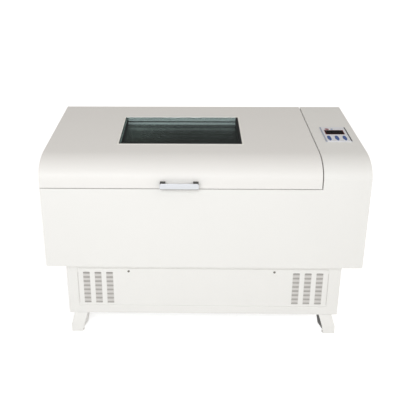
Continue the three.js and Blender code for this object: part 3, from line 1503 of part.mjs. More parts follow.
// Assembly
addPart('cabinet_shell', cabinetShell(), paint);
addPart('bottom_pan', bottomPan(), paint);
addPart('rear_panel', rearPanel(), paint);
addPart('insulation_tub', insulationTub(), foam);
addPart('chamber_liner', chamberLiner(), stainless);
addPart('mouth_gasket', mouthGasket(), rubber);
addPart('rear_baffle', rearBaffle(), stainless);
addPart('evaporator_coil', evaporatorCoil(), aluminium);
addPart('heater_element', heaterElement(), stainless);
addPart('chamber_fan_motor', chamberFanMotor(), castIron);
addPart(
  'chamber_fan',
  axialFan(fanRadius, fanDepth, chamberMiddleX, chamberFanFrontY, airMiddleZ), aluminium);

addPart('drive_frame', driveFrame(), castIron);
addPart('drive_motor', driveMotor(), castIron);
addPart('drive_belt', driveBelt(), rubber);
const [drivePlace, leftPlace, rightPlace] = spindlePlaces();
addPart('drive_crank', crank(pulleyBottomZ), machinedSteel).position.set(...drivePlace, 0);
addPart('driven_pulley', pulley(drivenPulleyRadius, spindleRadius, pulleyHubRadius), aluminium)
  .position.set(...drivePlace, 0);
addPart('idler_crank_left', crank(housingBottomZ), machinedSteel).position.set(...leftPlace, 0);
addPart('idler_crank_right', crank(housingBottomZ), machinedSteel).position.set(...rightPlace, 0);
addPart('motor_pulley', pulley(motorPulleyRadius, motorShaftRadius, pulleyHubRadius), aluminium)
  .position.set(motorX, driveSpindleY, 0);
addPart('platform_carriage', platformCarriage(), aluminium);
addPart('platform_tray', platformTray(), stainless);
['clamp_row_front', 'clamp_row_rear'].forEach((name, row) => addPart(name, clampRow(row), stainless));

addPart('base_cabinet', baseCabinet(), paint);
addPart('front_access_panel', frontAccessPanel(), paint);
addPart('rear_service_grille', rearServiceGrille(), paint);
addPart('compressor', compressor(), copperBlack);
addPart('condenser_coil', condenserCoil(), aluminium);
addPart('condenser_fan_motor', condenserFanMotor(), castIron);
addPart(
  'condenser_fan',
  axialFan(condenserFanRadius, condenserFanDepth, condenserMiddleX, condenserFanY, condenserMiddleZ),
  aluminium);

const frontFeet = new THREE.Group();
frontFeet.position.y = baseMiddleY;
const rearFeet = new THREE.Group();
rearFeet.position.y = baseMiddleY;
rearFeet.rotation.z = Math.PI;
machine.add(frontFeet, rearFeet);
addPart('foot_front_left', footBracket(-1), paint, frontFeet);
addPart('foot_front_right', footBracket(1), paint, frontFeet);
addPart('foot_rear_right', footBracket(-1), paint, rearFeet);
addPart('foot_rear_left', footBracket(1), paint, rearFeet);

addPart('control_bezel', controlBezel(), palePlastic);
addPart('display_window', displayWindow(), blackPlastic);
for (let index = 0; index < keyCount; index += 1) {
  addPart(`panel_key_${index + 1}`, panelKey(index), keyPlastic);
}
addPart('control_board', controlBoard(), boardGreen);
addPart('power_inlet', powerInlet(), blackPlastic);
const rocker = addPart('power_rocker', powerRocker(), blackPlastic);
rocker.position.set(consoleMiddleX, inletFaceY, rockerMiddleZ);
rocker.rotation.x = rockerTilt * Math.PI / 180;

addPart('lid_shell', lidShell(), lidPaint);
addPart('lid_liner', lidLiner(), stainless);
addPart('window_frame', windowFrame(), trimPlastic);
addPart('window_glass_outer', windowGlass(seat, topZ - glassRecess - glassThickness), glass);
addPart('window_glass_inner', windowGlass(frameLedge + seat, lidCeilingZ + linerSheet + seat), glass);
addPart('lid_handle_bar', handleBar(), chrome);
addPart('handle_post_left', handlePost(-1), darkPlastic);
addPart('handle_post_right', handlePost(1), darkPlastic);

for (const [side, label] of [[-1, 'left'], [1, 'right']]) {
  const hinge = new THREE.Group();
  hinge.position.set(lidMiddleX + side * hingeSpacing / 2, hingeAxisY, hingeAxisZ);
  machine.add(hinge);
  addPart(`hinge_body_leaf_${label}`, hingeLeaf(-1), stainless, hinge);
  addPart(`hinge_lid_leaf_${label}`, hingeLeaf(1), stainless, hinge);
  addPart(`hinge_pin_${label}`, hingePin(), machinedSteel, hinge);

  addPart(`stay_arm_${label}`, stayArm(side), stainless);
  addPart(`stay_track_${label}`, stayTrack(side), stainless);
}

// The origin is the middle of the object's footprint, on the floor
const frontReachY = -lidProud - handleStandoff - handleBarThickness;
const backReachY = hingeAxisY + hingeKnuckleRadius;
machine.position.y = -(frontReachY + backReachY) / 2;

export default machine;
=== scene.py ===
"""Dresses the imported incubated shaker: finishes, trims, fasteners, and a plain studio."""

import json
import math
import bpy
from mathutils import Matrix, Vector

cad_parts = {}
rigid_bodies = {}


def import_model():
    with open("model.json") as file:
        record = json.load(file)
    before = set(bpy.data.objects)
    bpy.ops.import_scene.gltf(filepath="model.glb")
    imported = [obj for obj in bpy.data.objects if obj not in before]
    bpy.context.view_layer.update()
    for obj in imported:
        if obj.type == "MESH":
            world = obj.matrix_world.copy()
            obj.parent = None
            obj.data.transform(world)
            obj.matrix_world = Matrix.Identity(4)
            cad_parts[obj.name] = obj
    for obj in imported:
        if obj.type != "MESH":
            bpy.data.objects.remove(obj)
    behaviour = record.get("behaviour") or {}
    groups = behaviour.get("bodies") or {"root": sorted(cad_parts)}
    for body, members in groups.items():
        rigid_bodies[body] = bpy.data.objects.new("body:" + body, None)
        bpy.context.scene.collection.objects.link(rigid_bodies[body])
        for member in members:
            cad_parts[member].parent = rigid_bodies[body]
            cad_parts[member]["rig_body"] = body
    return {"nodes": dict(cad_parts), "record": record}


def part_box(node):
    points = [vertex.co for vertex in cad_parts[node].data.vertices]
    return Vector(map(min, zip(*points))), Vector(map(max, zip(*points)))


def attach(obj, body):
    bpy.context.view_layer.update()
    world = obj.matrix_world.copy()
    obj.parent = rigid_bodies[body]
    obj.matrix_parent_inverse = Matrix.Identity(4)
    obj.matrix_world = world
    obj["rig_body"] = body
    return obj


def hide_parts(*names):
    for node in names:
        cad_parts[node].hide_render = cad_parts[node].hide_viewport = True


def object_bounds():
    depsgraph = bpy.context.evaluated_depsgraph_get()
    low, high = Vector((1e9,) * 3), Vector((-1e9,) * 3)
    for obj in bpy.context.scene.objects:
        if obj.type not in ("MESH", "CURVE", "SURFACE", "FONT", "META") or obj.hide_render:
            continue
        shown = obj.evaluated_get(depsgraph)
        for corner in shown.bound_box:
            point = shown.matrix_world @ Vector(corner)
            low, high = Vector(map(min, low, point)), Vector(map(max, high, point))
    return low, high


bl_info = {
    "name": "Incubated Shaker Dressing",
    "version": (1, 0, 0),
    "blender": (4, 5, 0),
    "location": "3D View > Sidebar > Shaker",
    "description": "Adds finishes and fine parts to an incubated shaker, and a studio round it",
    "category": "Object",
}

import bmesh
import bpy
from bpy.props import FloatProperty, FloatVectorProperty, PointerProperty
from mathutils import Matrix, Vector

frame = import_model()
CAD_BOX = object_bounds()

NODE_SLOT = {entry["node"]: entry["material_slot"] for entry in frame["record"]["subparts"]}
ROUND_ANGLE = math.radians(32)
DOME_ANGLE = math.radians(50)
FLAT_ANGLE = math.radians(0.5)
MERGE_DISTANCE = 2e-6
REARWARD = Matrix.Rotation(math.radians(-90), 3, "X")

# Outline of a flat dome from its middle outwards, in shares of its radius and of its rise
DOME_PROFILE = ((0.0, 1.0), (0.45, 0.94), (0.8, 0.72), (1.0, 0.3), (1.0, 0.0))
DOME_STEPS = 16

# Cross recess of a screw head: half length and half width in shares of the head's radius, then
# the bottom and the top in shares of its rise
RECESS = (0.55, 0.11, 0.685, 1.035)

# Edge of a key's oval in shares of its reach, and the blend there
KEY_RIM = 0.99
KEY_BLEND = 0.1

RELIEF_STRENGTH = 0.25
GLASS_IOR = 1.45
# Length over which a sharp change of colour fades
SHARP = 0.001


def linear(red, green, blue):
    """A colour given in 0 to 255 sRGB steps, as the linear colour that properties hold."""
    steps = (value / 255 for value in (red, green, blue))
    return tuple(s / 12.92 if s <= 0.04045 else ((s + 0.055) / 1.055) ** 2.4 for s in steps)


def number(name, description, default, **more):
    """A number, or several of them where the default holds several."""
    if isinstance(default, tuple):
        return FloatVectorProperty(
            name=name, description=description, size=len(default), default=default, **more)
    return FloatProperty(name=name, description=description, default=default, **more)


def metres(name, description, default):
    return number(name, description, default, unit="LENGTH", precision=4)


def share(name, description, default):
    return number(name, description, default, min=0, max=1)


def rgb(name, description, steps):
    return number(name, description, linear(*steps), subtype="COLOR", min=0, max=1)


class ShakerFinishes(bpy.types.PropertyGroup):
    """Colours of the painted, moulded and metal surfaces."""

    paint: rgb("Paint", "Powder coat of the cabinet, base and feet", (240, 239, 236))
    lid_paint: rgb("Lid paint", "Powder coat of the lid", (240, 238, 235))
    # Painted shade on the right front foot's inner cheek, darker towards the base above it
    cheek: rgb("Foot cheek", "Shaded inner cheek of the right front foot", (30, 25, 22))
    # Painted shade on the strips between the slots of the front panel
    painted_louvre_shade: rgb("Painted louvre shade", "Shade between the slots of the front panel", (211, 208, 205))
    steel: rgb("Steel", "Stainless sheet of the chamber and its fittings", (190, 192, 193))
    machined: rgb("Machined steel", "Cranks, pins and screw heads", (168, 171, 173))
    aluminium: rgb("Aluminium", "Coils, fans, pulleys and carriage", (196, 199, 200))
    casting: rgb("Casting", "Motors and drive frame", (92, 96, 100))
    enamel: rgb("Enamel", "Shell of the compressor", (34, 35, 37))
    moulding: rgb("Moulding", "Mains inlet and rocker", (26, 26, 27))
    rubber: rgb("Rubber", "Belt, gasket and seal", (38, 38, 38))
    board: rgb("Board", "Circuit board behind the panel", (30, 92, 58))
    overlay: rgb("Overlay", "Face of the control panel", (236, 237, 242))
    overlay_shade: rgb("Overlay shade", "Left band of the control panel", (178, 185, 201))
    key: rgb("Keys", "Blue key tops", (80, 104, 164))
    display: rgb("Display", "Display window", (18, 12, 13))
    display_edge: rgb("Display edge", "Dark red border inside the display", (104, 18, 22))
    digit: rgb("Digits", "Unlit red digits of the display", (38, 15, 17))
    red_lens: rgb("Red lens", "Red indicator lens", (164, 100, 106))
    blue_lens: rgb("Blue lens", "Pale blue indicator lens", (126, 152, 190))
    # Painted shade on the floor of the groove along the control panel's right edge
    strip: rgb("Panel strip", "Dark strip let into the panel's right edge", (96, 95, 94))
    fleece: rgb("Filter", "Filter fleece behind the slots", (182, 179, 175))
    spacer: rgb("Spacer", "Aluminium spacers between the panes", (222, 232, 232))
    screw: rgb("Screws", "Plated screw heads of the front panel", (120, 118, 112))
    trim: rgb("Window trim", "Thin frame round the window", (250, 248, 243))
    ledge: rgb("Window ledge", "Ledge of the frame under the pane", (150, 166, 162))
    # Painted shade on the window frame's walls below the ledge, on its right side and on the
    # spacers' sides
    seal: rgb("Window seal", "Dark sealant round and between the panes", (30, 32, 30))
    glass_tint: rgb("Glass tint", "Tint of the window's outer pane", (206, 214, 211))
    inner_tint: rgb("Inner tint", "Tint of the window's inner pane", (84, 92, 88))
    # Painted reflection on the inner pane: lighter on the left, darker at the front
    painted_reflection_light: rgb("Painted reflection light", "Hazy left part of the inner pane", (132, 146, 139))
    painted_reflection_dark: rgb("Painted reflection dark", "Clear front part of the inner pane", (36, 38, 33))
    plating: rgb("Handle plating", "Satin plating of the handle bar", (196, 198, 202))
    # Painted shade on the handle bar's lower edge
    painted_handle_shade: rgb("Handle painted shade", "Duller lower edge of the bar", (150, 148, 144))
    socket: rgb("Handle sockets", "Dark mouldings behind the handle", (44, 41, 37))
    foam: rgb("Foam", "Insulation", (226, 214, 170))
    copper: rgb("Copper", "Refrigerant pipes", (196, 118, 84))


class ShakerTrims(bpy.types.PropertyGroup):
    """Sizes of the fine parts, and where the finishes change."""

    edge: metres("Sheet edge", "Rounding of folded sheet edges", 0.0012)
    fine_edge: metres("Fine edge", "Rounding of small mouldings", 0.0004)
    # Where the painted shade lies on the right front foot's inner cheek
    cheek_shade_part: share("Cheek shade part", "Shaded shares of the foot's width and depth", (0.4, 0.36))
    cheek_shade_fade: share("Cheek shade fade", "Middle and height, of the foot's height", (0.2, 0.4))
    slot_inset: metres("Slot inset", "Outer slots' middle from the panel's end", 0.034)
    slot_pitch: metres("Slot pitch", "Between the columns of slots", 0.0458)
    slot_length: metres("Slot length", "Length of a slot", 0.027)
    slot_group: metres("Slot group", "Height of a column of slots", 0.141)
    slot_drop: metres("Slot drop", "Columns' middle below the panel's", 0.0035)
    screw_share: share("Screw share", "Panel's face, in shares of its screws' reach", 0.25)
    fleece_depth: metres("Filter depth", "Face and back behind the panel", (0.0004, 0.003))
    fleece_ends: metres("Filter ends", "Outer and inner end from the panel's", (0.016, 0.146))
    fleece_rims: metres("Filter rims", "Lower and upper rim inside the panel's", (0.0093, 0.0195))
    # The wide front and right widths are partly seal and partly painted shade
    seal_and_shade_widths: metres("Seal and shade widths", "Front, right and other edges", (0.011, 0.006, 0.0012))
    seal_rise: metres("Seal rise", "How far the seal stands above the pane", 0.0003)
    spacer_wall: metres("Spacer wall", "Thickness of the spacers", 0.0015)
    spacer_edge: metres("Spacer edge", "Rounding of the spacers", 0.0002)
    spacer_heights: metres("Spacer heights", "Lower and upper spacer", (0.0092, 0.0136))
    trim_lip: metres("Trim lip", "Pale trim's end above the pane's underside", 0.001)
    ledge_depth: metres("Ledge depth", "Ledge's end below the pane's underside", 0.0012)
    ledge_inset: metres("Ledge inset", "Ledge's right end inside the inner pane's", 0.0005)
    # Where the inner pane's painted reflection fades
    reflection_fades: share("Reflection fades", "Left and front fade from the middle, in halves", (0.6, 0.3))
    # Where the painted shade on the handle bar's lower edge fades
    handle_shade_fade: metres("Handle shade fade", "Middle and height of the bar's fade", (0.0035, 0.003))
    shade_width: metres("Shade width", "Left band of the control panel", 0.005)
    # Where the painted shade lies in the groove at the control panel's right edge
    groove_shade_sides: metres("Groove shade sides", "Sides from the panel's right edge", (0.0013, 0.0067))
    groove_shade_depth: metres("Groove shade depth", "Reach below the panel's face", (0.0001, 0.0011))
    print_rise: metres("Print rise", "Height of the display's digits and border", 0.0001)
    border: metres("Border", "Inset and width of the display's border", (0.0012, 0.0034))
    digit_height: metres("Digit height", "Height of a display digit", 0.016)
    lens_radii: metres("Lens radii", "Red and pale blue indicator lens", (0.0088, 0.005))
    lens_places: share("Lens places", "Lenses along the display's width", (0.19, 0.44))
    lens_rise: metres("Lens rise", "Height of the indicator lenses", 0.0012)
    lens_gap: metres("Lens gap", "Between the display and the red lens", 0.003)
    key_oval: share("Key oval", "Half width of the oval, of the key's width", 0.43)
    pipe_radius: metres("Pipe radius", "Refrigerant pipes", 0.004)
    pipe_rise: metres("Pipe rise", "Pipes' first bend above the compressor", 0.012)
    pipe_hole: metres("Pipe hole", "Middle of the hole in the floor pan", (-0.31703, 0.21785))
    leaf: metres("Hinge leaf", "Thickness of the hinge leaves", 0.002)
    screw_head: metres("Screw head", "Radius and height of the rear screws", (0.0042, 0.0016))
    screw_insets: metres("Screw insets", "From the rear panel's and grille's edges", (0.014, 0.008))


class ShakerStage(bpy.types.PropertyGroup):
    """Camera, lamps and floor."""

    camera_place: metres("Camera", "Place of the camera", (-0.0398, -2.75755, 1.6856))
    camera_angles: number(
        "Camera angles", "Heading, tilt below the horizon and roll",
        tuple(map(math.radians, (-1.532, 24.349, -0.317))), unit="ROTATION")
    focal_length: number("Focal length", "Focal length in millimetres", 64.536, min=10)
    shift: number("Shift", "Sideways shift of the frame", 0.06)
    ambient: number("Ambient", "Strength of the even light", 0.6, min=0)
    ambient_tone: rgb("Ambient tone", "Warm tone of the even light", (255, 251, 246))
    side_bias: share("Side bias", "Share by which the even light is stronger on the right", 0.5)
    far_glow: number("Far glow", "Brightness of the far side in gloss and glass", 0.06, min=0)
    far_fade: share("Far fade", "Where the far side starts and ends to darken", (0.1, 0.7))
    front_power: number("Front lamp", "Power of the lamp above the camera", 61, unit="POWER", min=0)
    front_place: metres("Front lamp place", "Place of the lamp", (-0.6, -3.4, 2.25))
    front_size: metres("Front lamp size", "Width and height of the lamp", (2.6, 1.6))
    front_tone: rgb("Front lamp tone", "Cool tone of the lamp", (248, 252, 255))
    floor_size: metres("Floor size", "Width of the floor", 60)
    floor_tone: number("Floor tone", "Colour of the floor", (0.86, 0.86, 0.86), subtype="COLOR")
    floor_roughness: share("Floor roughness", "Roughness of the floor", 0.8)
    floor_lift: number("Floor lift", "Light that the floor shows besides its own", 0.62)


# Nodes


def fill(tree, socket, value):
    """Links a socket to another one, or sets it to a number or an opaque colour."""
    if isinstance(value, bpy.types.NodeSocket):
        tree.links.new(value, socket)
    else:
        socket.default_value = (*value, 1) if socket.type == "RGBA" else value


def feed(tree, node, **values):
    """Fills a node's sockets, whose names have _ for a space."""
    for key, value in values.items():
        fill(tree, node.inputs[key.replace("_", " ")], value)


def add_node(tree, kind, settings=None, **values):
    """Adds a node with its settings and the values of its sockets."""
    node = tree.nodes.new(kind)
    for key, value in (settings or {}).items():
        setattr(node, key, value)
    feed(tree, node, **values)
    return node


def math_node(tree, operation, first, second):
    node = add_node(tree, "ShaderNodeMath", {"operation": operation})
    fill(tree, node.inputs[0], first)
    fill(tree, node.inputs[1], second)
    return node.outputs["Value"]


def vector_node(tree, operation, *vectors, **values):
    node = add_node(tree, "ShaderNodeVectorMath", {"operation": operation}, **values)
    for socket, vector in zip(node.inputs, vectors):
        tree.links.new(vector, socket)
    return node


def mix_node(tree, kind, places, factor, first, second):
    """Mixes two values; places are the sockets of the two, and of the result."""
    node = add_node(tree, "ShaderNodeMix", {"data_type": kind}, Factor=factor)
    fill(tree, node.inputs[places[0]], first)
    fill(tree, node.inputs[places[1]], second)
    return node.outputs[places[2]]


def mix_color(tree, factor, first, second):
    return mix_node(tree, "RGBA", (6, 7, 2), factor, first, second)


def mix_value(tree, factor, first, second):
    return mix_node(tree, "FLOAT", (2, 3, 0), factor, first, second)


def noise(tree, vector, scale, detail):
    node = add_node(
        tree, "ShaderNodeTexNoise", Vector=vector, Scale=scale, Detail=detail, Roughness=0.5)
    return node.outputs["Fac"]


def object_place(tree):
    return tree.nodes.new("ShaderNodeTexCoord").outputs["Object"]


def object_axis(tree, axis):
    return add_node(tree, "ShaderNodeSeparateXYZ", Vector=object_place(tree)).outputs[axis]


# Node groups that several finishes share


def new_group(name, results, **given):
    """Starts a group from its outputs' names and its inputs' defaults; a tuple is a colour."""
    tree = bpy.data.node_groups.new(name, "ShaderNodeTree")
    for label, default in given.items():
        kind = "NodeSocketColor" if isinstance(default, tuple) else "NodeSocketFloat"
        tree.interface.new_socket(
            name=label.replace("_", " "), in_out="INPUT", socket_type=kind).default_value = default
    for label in results:
        kind = "NodeSocketColor" if label == "Color" else "NodeSocketFloat"
        tree.interface.new_socket(name=label, in_out="OUTPUT", socket_type=kind)
    return tree, tree.nodes.new("NodeGroupInput").outputs, tree.nodes.new("NodeGroupOutput").inputs


def step_group():
    """Mask that is 1 below a limit and fades to 0 over a blend round it."""
    tree, given, result = new_group("Step Mask", ["Mask"], Value=0.0, Limit=0.0, Blend=SHARP)
    half = math_node(tree, "MULTIPLY", given["Blend"], 0.5)
    band = add_node(
        tree, "ShaderNodeMapRange", Value=given["Value"],
        From_Min=math_node(tree, "SUBTRACT", given["Limit"], half),
        From_Max=math_node(tree, "ADD", given["Limit"], half), To_Min=1.0, To_Max=0.0)
    tree.links.new(band.outputs["Result"], result["Mask"])
    return tree


def edge_group():
    """Mask of the outer edges, from how far a rounded normal turns away from the flat one."""
    tree, given, result = new_group("Edge Mask", ["Mask"], Radius=0.003, Gain=6.0)
    bevel = add_node(tree, "ShaderNodeBevel", {"samples": 4}, Radius=given["Radius"])
    geometry = tree.nodes.new("ShaderNodeNewGeometry")
    facing = vector_node(
        tree, "DOT_PRODUCT", bevel.outputs["Normal"], geometry.outputs["Normal"])
    away = math_node(tree, "SUBTRACT", 1.0, facing.outputs["Value"])
    clamped = add_node(
        tree, "ShaderNodeClamp", Value=math_node(tree, "MULTIPLY", away, given["Gain"]))
    tree.links.new(clamped.outputs["Result"], result["Mask"])
    return tree


def surface_results(tree, given, result, shade, turn, height):
    """Scales the colour round 1 by a shade, turns the roughness, and passes a height on."""
    tone = vector_node(
        tree, "SCALE", given["Color"], Scale=math_node(tree, "ADD", shade, 1.0))
    tree.links.new(tone.outputs["Vector"], result["Color"])
    tree.links.new(math_node(tree, "ADD", given["Roughness"], turn), result["Roughness"])
    tree.links.new(height, result["Height"])
    return tree


def mottle_group():
    """Slow and fine changes of tone and roughness, with a grain height."""
    tree, given, result = new_group(
        "Surface Mottle", ["Color", "Roughness", "Height"], Color=(0.8, 0.8, 0.8, 1), Tone=0.03,
        Roughness=0.45, Spread=0.1, Patch_Scale=5.0, Grain_Scale=700.0, Smudge_Ratio=7.0)
    place = object_place(tree)
    patches = noise(tree, place, given["Patch Scale"], 4.0)
    grain = noise(tree, place, given["Grain Scale"], 1.0)
    finer = math_node(tree, "MULTIPLY", given["Patch Scale"], given["Smudge Ratio"])
    smudge = noise(tree, place, finer, 3.0)
    offset = math_node(tree, "SUBTRACT", math_node(tree, "ADD", patches, grain), 1.0)
    shade = math_node(tree, "MULTIPLY", offset, given["Tone"])
    turn = math_node(
        tree, "MULTIPLY", math_node(tree, "SUBTRACT", smudge, 0.5), given["Spread"])
    return surface_results(tree, given, result, shade, turn, grain)


def brushed_group():
    """Long fine scratches along X, with slow changes of roughness."""
    tree, given, result = new_group(
        "Brushed Lines", ["Color", "Roughness", "Height"], Color=(0.6, 0.6, 0.6, 1),
        Roughness=0.3, Along=4.0, Across=900.0, Patch_Scale=6.0, Tone=0.25, Spread=0.2)
    place = object_place(tree)
    stretch = add_node(
        tree, "ShaderNodeCombineXYZ", X=given["Along"], Y=given["Across"], Z=given["Across"])
    scaled = vector_node(tree, "MULTIPLY", place, stretch.outputs["Vector"])
    lines = noise(tree, scaled.outputs["Vector"], 1.0, 2.0)
    patches = noise(tree, place, given["Patch Scale"], 3.0)
    shade = math_node(
        tree, "MULTIPLY", math_node(tree, "SUBTRACT", lines, 0.5), given["Tone"])
    offset = math_node(tree, "SUBTRACT", math_node(tree, "ADD", lines, patches), 1.0)
    turn = math_node(tree, "MULTIPLY", offset, given["Spread"])
    return surface_results(tree, given, result, shade, turn, lines)


GROUPS = {}


def place_group(tree, name, **values):
    """Places a shared group, which is built when it is first asked for."""
    builders = {
        "step": step_group, "edge": edge_group, "mottle": mottle_group, "brushed": brushed_group}
    if name not in GROUPS:
        GROUPS[name] = builders[name]()
    return add_node(tree, "ShaderNodeGroup", {"node_tree": GROUPS[name]}, **values)


def step(tree, value, limit, blend):
    """Mask that is 1 where a value lies below a limit, and fades to 0 over a blend round it."""
    return place_group(tree, "step", Value=value, Limit=limit, Blend=blend).outputs["Mask"]


def below(tree, axis, limit, blend=SHARP):
    """Mask that is 1 where an Object coordinate lies below a limit."""
    return step(tree, object_axis(tree, axis), limit, blend)


def within(tree, value, reach, blend=0.0015):
    """Mask that is 1 where a value lies less than reach from 0 on either side."""
    return step(tree, math_node(tree, "ABSOLUTE", value, 0), reach, blend)


# Finishes


def new_material(name):
    material = bpy.data.materials.new(name)
    material.use_nodes = True
    return material, material.node_tree, material.node_tree.nodes["Principled BSDF"]


# What each kind of surface is made of: its shared group, how metallic and how rough it is, the
# height of its relief, its worn edges (gain and lift of the colour, and their share), and the
# values of its group
KINDS = {
    "coat": ("mottle", 0.0, 0.52, 0.00006, (1.06, 0.0, 0.6), dict(Tone=0.02, Grain_Scale=650.0)),
    "plastic": (
        "mottle", 0.0, 0.5, 0.00004, (0.5, 0.3, 0.15),
        dict(Tone=0.06, Spread=0.12, Patch_Scale=25.0, Grain_Scale=1800.0)),
    "print": (
        "mottle", 0.0, 0.4, 0.000024, None,
        dict(Spread=0.08, Patch_Scale=20.0, Grain_Scale=2000.0)),
    "brushed": ("brushed", 1.0, 0.3, 0.00002, (0.0, 0.9, 0.4), {}),
    "plated": (
        "mottle", 0.9, 0.3, 0.00001, None,
        dict(Spread=0.12, Patch_Scale=20.0, Grain_Scale=300.0)),
    "cast": (
        "mottle", 0.4, 0.55, 0.0004, (0.0, 0.45, 0.3),
        dict(Tone=0.2, Spread=0.25, Patch_Scale=30.0, Grain_Scale=420.0)),
    "rubber": (
        "mottle", 0.0, 0.75, 0.0001, None,
        dict(Tone=0.15, Spread=0.15, Patch_Scale=40.0, Grain_Scale=1500.0)),
}


def finish(kind, name, color, roughness=None, grain=None):
    """A material of one kind, whose colour changes along its worn edges."""
    group, metallic, usual, relief, wear, values = KINDS[kind]
    own = {"Grain_Scale": grain} if grain else {}
    material, tree, shader = new_material(name)
    surface = place_group(
        tree, group, Color=color, Roughness=roughness or usual, **{**values, **own})
    tone = surface.outputs["Color"]
    if wear:
        gain, lift, part = wear
        edges = place_group(tree, "edge").outputs["Mask"]
        worn = [min(1, gain * c + lift) for c in color]
        tone = mix_color(tree, math_node(tree, "MULTIPLY", edges, part), tone, worn)
    bump = add_node(
        tree, "ShaderNodeBump", Strength=RELIEF_STRENGTH, Distance=relief,
        Height=surface.outputs["Height"])
    feed(
        tree, shader, Base_Color=tone, Roughness=surface.outputs["Roughness"], Metallic=metallic,
        Normal=bump.outputs["Normal"])
    return material


def pane_material(name, tint, roughness, transmission, clarity=(1, 1, 1)):
    """A tinted pane with faint smears in its gloss, which lets the lamps' light through."""
    material, tree, shader = new_material(name)
    smears = place_group(
        tree, "mottle", Color=tint, Tone=0.05, Roughness=roughness, Spread=0.05, Patch_Scale=9.0,
        Grain_Scale=40.0)
    feed(
        tree, shader, Base_Color=smears.outputs["Color"], Roughness=smears.outputs["Roughness"],
        IOR=GLASS_IOR, Transmission_Weight=transmission)
    path = tree.nodes.new("ShaderNodeLightPath")
    clear = add_node(tree, "ShaderNodeBsdfTransparent", Color=clarity)
    choice = add_node(tree, "ShaderNodeMixShader", Fac=path.outputs["Is Shadow Ray"])
    tree.links.new(shader.outputs["BSDF"], choice.inputs[1])
    tree.links.new(clear.outputs["BSDF"], choice.inputs[2])
    tree.links.new(choice.outputs["Shader"], tree.nodes["Material Output"].inputs["Surface"])
    return material


def recolor(material, pick):
    """Puts a change of colour between a finish and its shader."""
    tree = material.node_tree
    target = tree.nodes["Principled BSDF"].inputs["Base Color"]
    tree.links.new(pick(tree, target.links[0].from_socket), target)
    return material


def two_tone(material, axis, limit, blend, lower=None, upper=None):
    """Gives a finish another colour below or above a limit."""
    def pick(tree, color):
        return mix_color(tree, below(tree, axis, limit, blend), upper or color, lower or color)
    return recolor(material, pick)


def panel_overlay(trims, tones):
    """The panel's printed face: pale, with a blue-grey band along its left edge."""
    band_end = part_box("control_bezel")[0].x + trims.shade_width
    face = finish("print", "Panel Overlay", tones.overlay)
    return two_tone(face, "X", band_end, SHARP, tones.overlay_shade)


def window_trim(trims, tones):
    """The window's frame: pale outside, a grey ledge under the pane, and painted shade on the walls
    below the ledge and on the right side.
    """
    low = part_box("window_glass_outer")[0]
    ledge_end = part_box("window_glass_inner")[1].x - trims.ledge_inset

    def pick(tree, color):
        inside = below(tree, "Z", low.z + trims.trim_lip)
        # Painted shade: the walls below the ledge and the whole right side are darkened
        walls = below(tree, "Z", low.z - trims.ledge_depth)
        right = math_node(tree, "SUBTRACT", 1.0, below(tree, "X", ledge_end))
        dark = math_node(tree, "MAXIMUM", walls, right)
        ledge_and_shade = mix_color(tree, dark, tones.ledge, tones.seal)
        return mix_color(tree, inside, color, ledge_and_shade)
    return recolor(finish("plastic", "Window Trim", tones.trim, 0.45), pick)


def key_finish(name, node, trims, tones):
    """A key top in the panel's colour with a blue oval that fills its box."""
    low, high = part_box(node)
    middle = (low + high) / 2
    oval = trims.key_oval * (high.x - low.x)

    def pick(tree, color):
        place = add_node(
            tree, "ShaderNodeMapping", {"vector_type": "TEXTURE"}, Vector=object_place(tree),
            Location=(middle.x, middle.y, high.z), Scale=(oval, high.y - middle.y, 1))
        reach = vector_node(tree, "LENGTH", place.outputs["Vector"])
        inside = step(tree, reach.outputs["Value"], KEY_RIM, KEY_BLEND)
        return mix_color(tree, inside, tones.overlay, color)
    return recolor(finish("plastic", name, tones.key), pick)


MATERIALS = {}


def finish_of(slot):
    """The finish of one of the record's material slots, made when it is first asked for."""
    scene = bpy.context.scene
    trims, tones = scene.shaker_trims, scene.shaker_finishes
    makers = {
        "cabinet_paint": (finish, "coat", "Cabinet Powder Coat", tones.paint),
        "lid_paint": (finish, "coat", "Lid Powder Coat", tones.lid_paint),
        "compressor_paint": (finish, "coat", "Compressor Enamel", tones.enamel, 0.35),
        "stainless": (finish, "brushed", "Brushed Stainless", tones.steel),
        "machined_steel": (finish, "brushed", "Machined Steel", tones.machined, 0.28),
        "aluminium": (finish, "brushed", "Pressed Aluminium", tones.aluminium, 0.38),
        "cast_iron": (finish, "cast", "Painted Casting", tones.casting),
        "dark_plastic": (finish, "plastic", "Handle Socket Plastic", tones.socket, 0.45),
        "black_plastic": (finish, "plastic", "Black Moulding", tones.moulding, 0.38),
        "circuit_board": (finish, "plastic", "Circuit Board", tones.board),
        "foam": (finish, "plastic", "Rigid Foam", tones.foam, 0.9, 500.0),
        "rubber": (finish, "rubber", "Black Rubber", tones.rubber),
        "window_glass": (pane_material, "Outer Pane", tones.glass_tint, 0.03, 1.0),
        "pale_plastic": (panel_overlay, trims, tones),
        "trim_plastic": (window_trim, trims, tones),
    }
    if slot not in MATERIALS:
        maker, *values = makers[slot]
        MATERIALS[slot] = maker(*values)
    return MATERIALS[slot]


# Making pieces


def body_of_node(node):
    return frame["nodes"][node]["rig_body"]


def new_object(name, data):
    item = bpy.data.objects.new(name, data)
    bpy.context.scene.collection.objects.link(item)
    return item


def place_piece(name, mesh, body, material):
    piece = new_object(name, mesh)
    mesh.materials.clear()
    mesh.materials.append(material)
    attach(piece, body)
    return piece


def mesh_from(shape, name, smooth_angle=ROUND_ANGLE):
    """Turns a bmesh into a mesh that shades smooth over its gentle edges."""
    bmesh.ops.recalc_face_normals(shape, faces=shape.faces)
    for face in shape.faces:
        face.smooth = True
    for edge in shape.edges:
        edge.smooth = len(edge.link_faces) == 2 and edge.calc_face_angle(0) < smooth_angle
    mesh = bpy.data.meshes.new(name)
    shape.to_mesh(mesh)
    shape.free()
    return mesh


